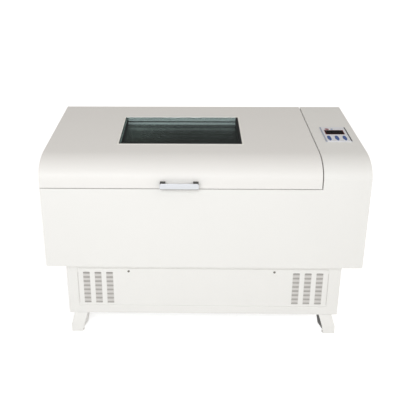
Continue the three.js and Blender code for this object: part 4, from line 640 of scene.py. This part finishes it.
def sharp_edges(shape):
    return [
        e for e in shape.edges if len(e.link_faces) == 2 and e.calc_face_angle(0) > ROUND_ANGLE]


def round_edges(shape, edges, radius, segments):
    bmesh.ops.bevel(
        shape, geom=edges, offset=radius, offset_type="OFFSET", affect="EDGES", segments=segments,
        profile=0.5, material=-1, clamp_overlap=True)


def dress(node, radius, segments=2, material=None):
    """A merged copy of a CAD node with rounded sharp edges, which stands for the node."""
    shape = bmesh.new()
    shape.from_mesh(frame["nodes"][node].data)
    bmesh.ops.remove_doubles(shape, verts=shape.verts, dist=MERGE_DISTANCE)
    bmesh.ops.dissolve_limit(
        shape, angle_limit=FLAT_ANGLE, verts=shape.verts, edges=shape.edges)
    if radius:
        round_edges(shape, sharp_edges(shape), radius, segments)
    name = node + "_dressed"
    slot = NODE_SLOT[node]
    piece = place_piece(
        name, mesh_from(shape, name), body_of_node(node), material or finish_of(slot))
    piece.modifiers.new("Even Faces", "WEIGHTED_NORMAL").keep_sharp = True
    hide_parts(node)
    return piece


def paint_faces(piece, material, chosen):
    """Gives the faces whose middle passes a test a material of their own."""
    mesh = piece.data
    mesh.materials.append(material)
    for polygon in mesh.polygons:
        if chosen(polygon.center):
            polygon.material_index = len(mesh.materials) - 1


def cover(node, material):
    """Gives a CAD node that stays as it is a material."""
    target = frame["nodes"][node]
    if not target.material_slots:
        target.data.materials.append(material)
    for entry in target.material_slots:
        entry.material = material


def add_box(shape, low, high):
    """Adds a box between two corners, and returns its points."""
    low, high = Vector(low), Vector(high)
    points = bmesh.ops.create_cube(shape, size=1)["verts"]
    bmesh.ops.scale(shape, vec=high - low, verts=points)
    bmesh.ops.translate(shape, vec=(low + high) / 2, verts=points)
    return points


def block_piece(name, spans, radius, body, material):
    """Blocks between pairs of corners as one piece, with rounded edges if radius isn't 0."""
    shape = bmesh.new()
    for low, high in spans:
        points = add_box(shape, low, high)
        if radius:
            round_edges(shape, list({e for v in points for e in v.link_edges}), radius, 1)
    return place_piece(name, mesh_from(shape, name), body, material)


def ring_frame(name, low, high, z0, z1, width, body, material, radius=0):
    """A flat rectangular ring between two heights, made from an inset plate."""
    middle = (low + high) / 2
    shape = bmesh.new()
    bmesh.ops.create_grid(shape, x_segments=1, y_segments=1, size=0.5)
    bmesh.ops.scale(shape, vec=(high.x - low.x, high.y - low.y, 1), verts=shape.verts)
    bmesh.ops.translate(shape, vec=(middle.x, middle.y, z0), verts=shape.verts)
    plate = shape.faces[:]
    bmesh.ops.inset_region(
        shape, faces=plate, thickness=width, use_even_offset=True, use_boundary=True)
    bmesh.ops.delete(shape, geom=plate, context="FACES")
    grown = bmesh.ops.extrude_face_region(shape, geom=shape.faces[:])
    lifted = [v for v in grown["geom"] if isinstance(v, bmesh.types.BMVert)]
    bmesh.ops.translate(shape, vec=(0, 0, z1 - z0), verts=lifted)
    bmesh.ops.recalc_face_normals(shape, faces=shape.faces)
    if radius:
        round_edges(shape, sharp_edges(shape), radius, 1)
    return place_piece(name, mesh_from(shape, name), body, material)


def stand(shape, points, place, turn):
    """Turns points about the origin and moves them to a place."""
    bmesh.ops.rotate(shape, cent=(0, 0, 0), matrix=turn, verts=points)
    bmesh.ops.translate(shape, vec=place, verts=points)


def dome(shape, place, radius, rise, turn=Matrix.Identity(3)):
    """Adds a flat dome that stands on a place, turned from +Z."""
    before = set(shape.verts)
    ring = [shape.verts.new((out * radius, 0, up * rise)) for out, up in DOME_PROFILE]
    edges = [shape.edges.new(pair) for pair in zip(ring, ring[1:])]
    bmesh.ops.spin(
        shape, geom=ring + edges, cent=(0, 0, 0), axis=(0, 0, 1), angle=2 * math.pi,
        steps=DOME_STEPS, use_merge=True)
    bmesh.ops.remove_doubles(
        shape, verts=[v for v in shape.verts if v not in before], dist=MERGE_DISTANCE)
    stand(shape, [v for v in shape.verts if v not in before], place, turn)


def screws(name, places, body, radius, rise):
    """Domed screw heads with dark cross recesses, standing out to the rear, as one piece."""
    length, width = (part * radius for part in RECESS[:2])
    bottom, top = (part * rise for part in RECESS[2:])
    shape = bmesh.new()
    for place in places:
        dome(shape, place, radius, rise, REARWARD)
        for x, y in ((length, width), (width, length)):
            bar = add_box(shape, (-x, -y, bottom), (x, y, top))
            stand(shape, bar, place, REARWARD)
            for face in {f for v in bar for f in v.link_faces}:
                face.material_index = 1
    mesh = mesh_from(shape, name, DOME_ANGLE)
    place_piece(name, mesh, body, finish_of("machined_steel"))
    mesh.materials.append(finish_of("rubber"))


def pipe(name, points, radius, material):
    """A bent pipe along points, made from a curve and kept as a mesh."""
    curve = bpy.data.curves.new(name, "CURVE")
    curve.dimensions = "3D"
    curve.bevel_depth = radius
    curve.bevel_resolution = 3
    curve.use_fill_caps = True
    spline = curve.splines.new("BEZIER")
    spline.bezier_points.add(len(points) - 1)
    for knot, place in zip(spline.bezier_points, points):
        knot.co = place
        knot.handle_left_type = "AUTO"
        knot.handle_right_type = "AUTO"
    holder = new_object(name + "_path", curve)
    bpy.context.view_layer.update()
    shown = holder.evaluated_get(bpy.context.evaluated_depsgraph_get())
    mesh = bpy.data.meshes.new_from_object(shown)
    bpy.data.objects.remove(holder)
    mesh.name = name
    for polygon in mesh.polygons:
        polygon.use_smooth = True
    place_piece(name, mesh, "cabinet", material)


# Steps


class ShakerOperator(bpy.types.Operator):
    """Base of the dressing steps: dresses a step's nodes, then adds what else the step has."""

    bl_options = {"REGISTER", "UNDO"}
    SHEETS = ()  # Nodes with the rounded edges of folded sheet
    FINE = ()  # Nodes with finely rounded edges
    MERGED = ()  # Nodes without rounding
    PLAIN = ()  # Nodes that stay as they are

    def execute(self, context):
        trims = context.scene.shaker_trims
        for nodes, radius, segments in (
                (self.SHEETS, trims.edge, 2), (self.FINE, trims.fine_edge, 1), (self.MERGED, 0, 1)):
            for node in nodes:
                dress(node, radius, segments)
        for node in self.PLAIN:
            cover(node, finish_of(NODE_SLOT[node]))
        self.add_trim(trims, context.scene.shaker_finishes)
        return {"FINISHED"}

    def add_trim(self, trims, tones):
        """Adds a step's own trim, if it has any."""


class SHAKER_OT_cabinet(ShakerOperator):
    """Dress the cabinet, the console hood, the base and the feet"""

    bl_idname = "shaker.cabinet"
    bl_label = "Cabinet and Base"

    SHEETS = (
        "cabinet_shell", "base_cabinet", "foot_front_left", "foot_rear_left", "foot_rear_right")
    FINE = ("rear_service_grille", "rear_panel")
    PLAIN = ("bottom_pan", "insulation_tub")

    def add_trim(self, trims, tones):
        foot = dress("foot_front_right", trims.edge)
        low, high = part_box("foot_front_right")
        size = high - low
        line, fade = (part * size.z for part in trims.cheek_shade_fade)
        # Painted shade: the inner cheek turns dark towards its top, under the base
        cheek = two_tone(
            finish("coat", "Shaded Foot Cheek", tones.paint), "Z", low.z + line, fade,
            upper=tones.cheek)
        paint_faces(
            foot, cheek,
            lambda middle: middle.x < low.x + trims.cheek_shade_part[0] * size.x
            and middle.y < low.y + trims.cheek_shade_part[1] * size.y)


class SHAKER_OT_access_panel(ShakerOperator):
    """Dress the slotted front panel and its screws, and hang the filter fleece behind its slots"""

    bl_idname = "shaker.access_panel"
    bl_label = "Front Panel"

    COLUMNS = 3  # Columns of slots at each end

    def add_trim(self, trims, tones):
        low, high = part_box("front_access_panel")
        middle = (low + high) / 2

        # Painted shade on the strips between the slots of the outer columns
        def pick(tree, color):
            out = math_node(
                tree, "ABSOLUTE", math_node(tree, "SUBTRACT", object_axis(tree, "X"), middle.x), 0)
            left = math_node(tree, "SUBTRACT", high.x - middle.x - trims.slot_inset, out)
            column = math_node(tree, "DIVIDE", left, trims.slot_pitch)
            off = math_node(
                tree, "MULTIPLY", math_node(tree, "PINGPONG", column, 0.5), trims.slot_pitch)
            up = math_node(tree, "SUBTRACT", object_axis(tree, "Z"), middle.z - trims.slot_drop)
            inside = math_node(
                tree, "MULTIPLY", within(tree, off, trims.slot_length / 2),
                within(tree, up, trims.slot_group / 2))
            outer = math_node(tree, "LESS_THAN", column, self.COLUMNS - 0.5)
            shaded = math_node(tree, "MULTIPLY", inside, outer)
            return mix_color(tree, shaded, color, tones.painted_louvre_shade)

        piece = dress(
            "front_access_panel", trims.fine_edge, 1,
            recolor(finish("coat", "Slotted Panel Coat", tones.paint), pick))
        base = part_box("base_cabinet")[0].y
        face = base - trims.screw_share * (base - low.y)
        paint_faces(
            piece, finish("brushed", "Plated Screw", tones.screw, 0.4),
            lambda middle: middle.y < face)
        outer, inner = trims.fleece_ends
        front, back = (high.y + depth for depth in trims.fleece_depth)
        bottom, top = low.z + trims.fleece_rims[0], high.z - trims.fleece_rims[1]
        block_piece(
            "filter_fleece",
            [((x, front, bottom), (x + inner - outer, back, top))
             for x in (low.x + outer, high.x - inner)],
            trims.fine_edge, "cabinet",
            finish("plastic", "Filter Fleece", tones.fleece, 0.95, 900.0))


class SHAKER_OT_lid(ShakerOperator):
    """Dress the lid and its inner liner"""

    bl_idname = "shaker.lid"
    bl_label = "Lid"

    SHEETS = ("lid_shell",)
    FINE = ("lid_liner",)


class SHAKER_OT_window(ShakerOperator):
    """Glaze the window: trim, seal, two panes and the spacers between them"""

    bl_idname = "shaker.window"
    bl_label = "Window"

    PLAIN = ("window_glass_outer",)

    def add_trim(self, trims, tones):
        dress("window_frame", trims.fine_edge)
        low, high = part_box("window_glass_outer")
        # A dark rubber seal round the pane, widened along the front and the right edge as painted
        # shade
        front_seal_and_shade, right_seal_and_shade, side = trims.seal_and_shade_widths
        rise, front, rear = high.z + trims.seal_rise, low.y + front_seal_and_shade, high.y - side
        block_piece("window_seal", [
            ((low.x, low.y, high.z), (high.x, front, rise)),
            ((low.x, rear, high.z), (high.x, high.y, rise)),
            ((low.x, front, high.z), (low.x + side, rear, rise)),
            ((high.x - right_seal_and_shade, front, high.z), (high.x, rear, rise)),
        ], 0, "lid", finish_of("rubber"))

        inner_low, inner_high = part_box("window_glass_inner")
        spacer = finish("plastic", "Pane Spacer", tones.spacer)
        side_shade = finish("rubber", "Pane Sealant", tones.seal)
        left, right = inner_low.x + 2 * trims.spacer_wall, inner_high.x - 2 * trims.spacer_wall
        lower, upper = trims.spacer_heights
        for name, z0, z1 in (
                ("lower_spacer", inner_high.z, inner_high.z + lower),
                ("upper_spacer", low.z - upper, low.z - trims.seal_rise)):
            ring = ring_frame(
                name, inner_low, inner_high, z0, z1, trims.spacer_wall, "lid", spacer,
                trims.spacer_edge)
            # Painted shade on the spacers' left and right bars
            paint_faces(ring, side_shade, lambda middle: not left < middle.x < right)

        middle = (inner_low + inner_high) / 2
        half = (inner_high - inner_low) / 2

        # Painted reflection: the pane turns lighter towards the left and darker towards the front
        def painted_reflection(tree, color):
            reflection_left = below(tree, "X", middle.x - trims.reflection_fades[0] * half.x, half.x)
            clear = below(tree, "Y", middle.y - trims.reflection_fades[1] * half.y, half.y)
            reflected_left = mix_color(tree, reflection_left, color, tones.painted_reflection_light)
            return mix_color(tree, clear, reflected_left, tones.painted_reflection_dark)

        pane = pane_material("Inner Pane", tones.inner_tint, 0.06, 0.6, tones.inner_tint)
        cover("window_glass_inner", recolor(pane, painted_reflection))


class SHAKER_OT_handle(ShakerOperator):
    """Dress the lid handle"""

    bl_idname = "shaker.handle"
    bl_label = "Handle"

    def add_trim(self, trims, tones):
        # Painted shade along the bar's lower edge
        line, fade = trims.handle_shade_fade
        plating = two_tone(
            finish("plated", "Plated Handle Bar", tones.plating), "Z",
            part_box("lid_handle_bar")[0].z + line, fade, tones.painted_handle_shade)
        dress("lid_handle_bar", trims.edge, 3, plating)
        for side in ("left", "right"):
            dress("handle_post_" + side, trims.edge, 3)


class SHAKER_OT_console(ShakerOperator):
    """Dress the control panel: overlay, display, digits and keys"""

    bl_idname = "shaker.console"
    bl_label = "Control Panel"

    PLAIN = ("control_board",)
    # Bars of a seven-bar digit in shares of its height: left, right, lower and upper edge
    BARS = (
        (0.09, 0.406, 0.91, 1), (0, 0.09, 0.5, 1), (0.406, 0.496, 0.5, 1),
        (0.09, 0.406, 0.455, 0.545), (0, 0.09, 0, 0.5), (0.406, 0.496, 0, 0.5),
        (0.09, 0.406, 0, 0.09))
    DIGITS = {"0": (0, 1, 2, 4, 5, 6), "3": (0, 2, 3, 5, 6), "7": (0, 2, 5)}
    READING = "3700"
    # A digit's pitch and the space before it, in shares of its height
    PITCH, SPACE = 0.8, 0.08

    def add_display(self, trims, tones, low, high):
        body = body_of_node("display_window")
        dress(
            "display_window", trims.fine_edge,
            material=finish("plastic", "Display Face", tones.display, 0.22))
        height, rise = trims.digit_height, high.z + trims.print_rise
        left = (low.x + high.x) / 2 + (self.SPACE - len(self.READING) * self.PITCH / 2) * height
        bottom = (low.y + high.y - height) / 2
        shape = bmesh.new()
        for figure in self.READING:
            for bar in self.DIGITS[figure]:
                x0, x1, y0, y1 = (part * height for part in self.BARS[bar])
                add_box(
                    shape, (left + x0, bottom + y0, high.z), (left + x1, bottom + y1, rise))
            left += self.PITCH * height
        place_piece(
            "display_digits", mesh_from(shape, "display_digits"), body,
            finish("plastic", "Dim Digits", tones.digit, 0.4))
        gap, width = trims.border
        inset = Vector((gap, gap, 0))
        ring_frame(
            "display_border", low + inset, high - inset, high.z, rise, width, body,
            finish("plastic", "Display Border", tones.display_edge, 0.4))

    def add_trim(self, trims, tones):
        bezel = dress("control_bezel", trims.fine_edge)
        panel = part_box("control_bezel")[1]
        right, left = (panel.x - side for side in trims.groove_shade_sides)
        top, bottom = (panel.z - depth for depth in trims.groove_shade_depth)
        # Painted shade on the groove's floor at the panel's right edge
        paint_faces(
            bezel, finish("plastic", "Panel Strip", tones.strip),
            lambda middle: left < middle.x < right and bottom < middle.z < top)
        low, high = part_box("display_window")
        self.add_display(trims, tones, low, high)
        row = high.y + trims.lens_gap + trims.lens_radii[0]
        for name, radius, along in zip(
                ("red_lens", "blue_lens"), trims.lens_radii, trims.lens_places):
            place = (low.x + along * (high.x - low.x), row, panel.z)
            shape = bmesh.new()
            dome(shape, place, radius, trims.lens_rise)
            place_piece(
                name, mesh_from(shape, name), body_of_node("control_bezel"),
                finish("plastic", name.replace("_", " ").title(), getattr(tones, name), 0.25))
        for digit in "123":
            node = "panel_key_" + digit
            face = key_finish("Blue Key " + digit, node, trims, tones)
            dress(node, trims.fine_edge, 3, face)


class SHAKER_OT_chamber(ShakerOperator):
    """Dress the chamber, the platform and the flask clamps"""

    bl_idname = "shaker.chamber"
    bl_label = "Chamber"

    FINE = ("chamber_liner", "platform_tray")
    MERGED = ("clamp_row_front", "clamp_row_rear", "mouth_gasket")
    PLAIN = ("rear_baffle", "evaporator_coil", "heater_element", "chamber_fan_motor", "chamber_fan")


class SHAKER_OT_drive(ShakerOperator):
    """Dress the shaking drive"""

    bl_idname = "shaker.drive"
    bl_label = "Shaking Drive"

    FINE = (
        "drive_crank", "idler_crank_left", "idler_crank_right", "driven_pulley", "motor_pulley",
        "drive_motor")
    PLAIN = ("drive_frame", "drive_belt", "platform_carriage")


class SHAKER_OT_cooling(ShakerOperator):
    """Dress the refrigeration unit and add its pipes"""

    bl_idname = "shaker.cooling"
    bl_label = "Cooling Unit"

    SHEETS = ("compressor",)
    PLAIN = ("condenser_coil", "condenser_fan_motor", "condenser_fan")
    # Points of the pipes in metres, each from the place that add_trim pairs it with
    DISCHARGE = ((-0.04, 0, -0.02), (-0.045, -0.02, 0), (-0.004, 0, -0.03), (-0.002, -0.02, -0.04))
    SUCTION = (
        (0.03, 0, -0.02), (0.035, 0.02, 0), (0.055, 0.09, 0.012), (0, 0, -0.008), (0, 0, 0.002))

    def add_trim(self, trims, tones):
        copper = finish("brushed", "Copper Pipe", tones.copper)
        low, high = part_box("compressor")
        port = ((low.x + high.x) / 2, (low.y + high.y) / 2, high.z)
        bend = (*port[:2], high.z + trims.pipe_rise)
        low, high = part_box("condenser_coil")
        above_coil = (low.x, (port[1] + high.y) / 2, bend[2])
        coil_end = (low.x, high.y, high.z)
        hole = (*trims.pipe_hole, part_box("bottom_pan")[0].z)
        for name, places, offsets in (
                ("discharge_pipe", (port, bend, above_coil, coil_end), self.DISCHARGE),
                ("suction_pipe", (port, bend, bend, hole, hole), self.SUCTION)):
            points = [Vector(place) + Vector(offset) for place, offset in zip(places, offsets)]
            pipe(name, points, trims.pipe_radius, copper)


class SHAKER_OT_hinges(ShakerOperator):
    """Dress the hinges and the lid stays"""

    bl_idname = "shaker.hinges"
    bl_label = "Hinges and Stays"

    FINE = tuple(
        part + side for side in ("left", "right")
        for part in (
            "hinge_body_leaf_", "hinge_lid_leaf_", "hinge_pin_", "stay_arm_", "stay_track_"))
    # Screws of a leaf, in shares of its width, and of the height of each kind of leaf
    COLUMNS = (0.2, 0.8)
    ROWS = {"hinge_body_leaf_": (0.2, 0.6), "hinge_lid_leaf_": (0.4, 0.8)}

    def add_trim(self, trims, tones):
        for side in ("left", "right"):
            for node, rows in self.ROWS.items():
                low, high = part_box(node + side)
                size = high - low
                places = [
                    (low.x + along * size.x, low.y + trims.leaf, low.z + up * size.z)
                    for along in self.COLUMNS for up in rows]
                screws(
                    node + side + "_screws", places, body_of_node(node + side), *trims.screw_head)


class SHAKER_OT_rear(ShakerOperator):
    """Dress the mains inlet and add the rear panels' screws"""

    bl_idname = "shaker.rear"
    bl_label = "Rear Fittings"

    FINE = ("power_inlet",)
    # Screws along the rear panel's lower edge, in shares of the way between the outer ones
    LOWER_ROW = (0, 0.2, 0.4, 0.6, 0.8, 1)

    def add_trim(self, trims, tones):
        dress("power_rocker", trims.fine_edge)
        inset, grille_inset = trims.screw_insets
        low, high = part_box("rear_panel")
        left, right = low.x + inset, high.x - inset
        places = [
            (left + along * (right - left), high.y, low.z + inset) for along in self.LOWER_ROW]
        places.append((right, high.y, high.z - inset))
        places.append((left, high.y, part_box("insulation_tub")[1].z - inset))
        screws("rear_panel_screws", places, "cabinet", *trims.screw_head)
        low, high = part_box("rear_service_grille")
        places = [
            (x, high.y, z) for x in (low.x + grille_inset, high.x - grille_inset)
            for z in (low.z + grille_inset, high.z - grille_inset)]
        screws("service_grille_screws", places, "cabinet", *trims.screw_head)


class SHAKER_OT_stage(bpy.types.Operator):
    """Set up the floor, the light and the camera"""

    bl_idname = "shaker.stage"
    bl_label = "Studio"
    bl_options = {"REGISTER", "UNDO"}

    def camera(self, stage):
        data = bpy.data.cameras.new("Studio Camera")
        data.lens = stage.focal_length
        data.shift_x = stage.shift
        camera = new_object("Studio Camera", data)
        turn, tilt, roll = stage.camera_angles
        level = Matrix.Translation(stage.camera_place) @ Matrix.Rotation(-turn, 4, "Z")
        tilted = level @ Matrix.Rotation(math.pi / 2 - tilt, 4, "X")
        camera.matrix_world = tilted @ Matrix.Rotation(roll, 4, "Z")
        bpy.context.scene.camera = camera

    def lamp(self, stage):
        data = bpy.data.lights.new("Front Lamp", "AREA")
        data.energy = stage.front_power
        data.color = stage.front_tone
        data.shape = "RECTANGLE"
        data.size, data.size_y = stage.front_size
        place = Vector(stage.front_place)
        aim = (Vector(CAD_BOX[0]) + Vector(CAD_BOX[1])) / 2 - place
        turn = aim.to_track_quat("-Z", "Y").to_matrix().to_4x4()
        new_object("Front Lamp", data).matrix_world = Matrix.Translation(place) @ turn

    def rays(self, tree):
        """The kinds of ray, and the mask of those that were mirrored or went through."""
        path = tree.nodes.new("ShaderNodeLightPath").outputs
        return path, math_node(tree, "MAXIMUM", path["Is Glossy Ray"], path["Is Transmission Ray"])

    def floor(self, stage):
        material, tree, shader = new_material("Pale Floor")
        path, mirrored = self.rays(tree)
        seen = math_node(tree, "MAXIMUM", path["Is Camera Ray"], mirrored)
        feed(
            tree, shader, Base_Color=stage.floor_tone, Roughness=stage.floor_roughness,
            Specular_IOR_Level=0.0, Emission_Color=(1, 1, 1),
            Emission_Strength=math_node(tree, "MULTIPLY", seen, stage.floor_lift))
        shape = bmesh.new()
        bmesh.ops.create_grid(shape, x_segments=1, y_segments=1, size=stage.floor_size / 2)
        mesh = bpy.data.meshes.new("Floor")
        shape.to_mesh(mesh)
        shape.free()
        mesh.materials.append(material)
        floor = new_object("Floor", mesh)

    def sky(self, stage):
        world = bpy.data.worlds.new("Even Light")
        bpy.context.scene.world = world
        world.use_nodes = True
        tree = world.node_tree
        path, mirrored = self.rays(tree)
        heading = tree.nodes.new("ShaderNodeTexCoord").outputs["Generated"]
        side = add_node(tree, "ShaderNodeSeparateXYZ", Vector=heading).outputs
        fade = add_node(
            tree, "ShaderNodeMapRange", Value=side["Y"], From_Min=stage.far_fade[0],
            From_Max=stage.far_fade[1], To_Min=1.0, To_Max=stage.far_glow)
        lean = math_node(
            tree, "ADD", math_node(tree, "MULTIPLY", side["X"], stage.side_bias), 1.0)
        even = math_node(tree, "MULTIPLY", lean, stage.ambient)
        glow = mix_value(tree, mirrored, even, fade.outputs["Result"])
        tone = mix_color(tree, path["Is Diffuse Ray"], (1, 1, 1), stage.ambient_tone)
        feed(
            tree, tree.nodes["Background"], Color=tone,
            Strength=mix_value(tree, path["Is Camera Ray"], glow, 1.0))

    def execute(self, context):
        stage = context.scene.shaker_stage
        self.camera(stage)
        self.lamp(stage)
        self.floor(stage)
        self.sky(stage)
        context.scene.view_settings.view_transform = "Standard"
        return {"FINISHED"}


class SHAKER_PT_panel(bpy.types.Panel):
    """Lists the colours, the sizes and the steps"""

    bl_label = "Shaker"
    bl_idname = "SHAKER_PT_panel"
    bl_space_type = "VIEW_3D"
    bl_region_type = "UI"
    bl_category = "Shaker"

    def draw(self, context):
        for name in SETTINGS:
            column = self.layout.box().column()
            column.label(text=name.replace("_", " ").title())
            for key in SETTINGS[name].__annotations__:
                column.prop(getattr(context.scene, name), key)
        for operator in OPERATORS:
            self.layout.operator(operator.bl_idname)


SETTINGS = {
    "shaker_finishes": ShakerFinishes, "shaker_trims": ShakerTrims, "shaker_stage": ShakerStage}
OPERATORS = (
    SHAKER_OT_cabinet, SHAKER_OT_access_panel, SHAKER_OT_lid, SHAKER_OT_window, SHAKER_OT_handle,
    SHAKER_OT_console, SHAKER_OT_chamber, SHAKER_OT_drive, SHAKER_OT_cooling, SHAKER_OT_hinges,
    SHAKER_OT_rear, SHAKER_OT_stage)
CLASSES = (*SETTINGS.values(), *OPERATORS, SHAKER_PT_panel)


def register():
    for kind in CLASSES:
        bpy.utils.register_class(kind)
    for name, kind in SETTINGS.items():
        setattr(bpy.types.Scene, name, PointerProperty(type=kind))


def unregister():
    for name in SETTINGS:
        delattr(bpy.types.Scene, name)
    for kind in reversed(CLASSES):
        bpy.utils.unregister_class(kind)


def main():
    register()
    bpy.ops.shaker.cabinet()
    bpy.ops.shaker.access_panel()
    bpy.ops.shaker.lid()
    bpy.ops.shaker.window()
    bpy.ops.shaker.handle()
    bpy.ops.shaker.console()
    bpy.ops.shaker.chamber()
    bpy.ops.shaker.drive()
    bpy.ops.shaker.cooling()
    bpy.ops.shaker.hinges()
    bpy.ops.shaker.rear()
    bpy.ops.shaker.stage()


if __name__ == "__main__":
    main()
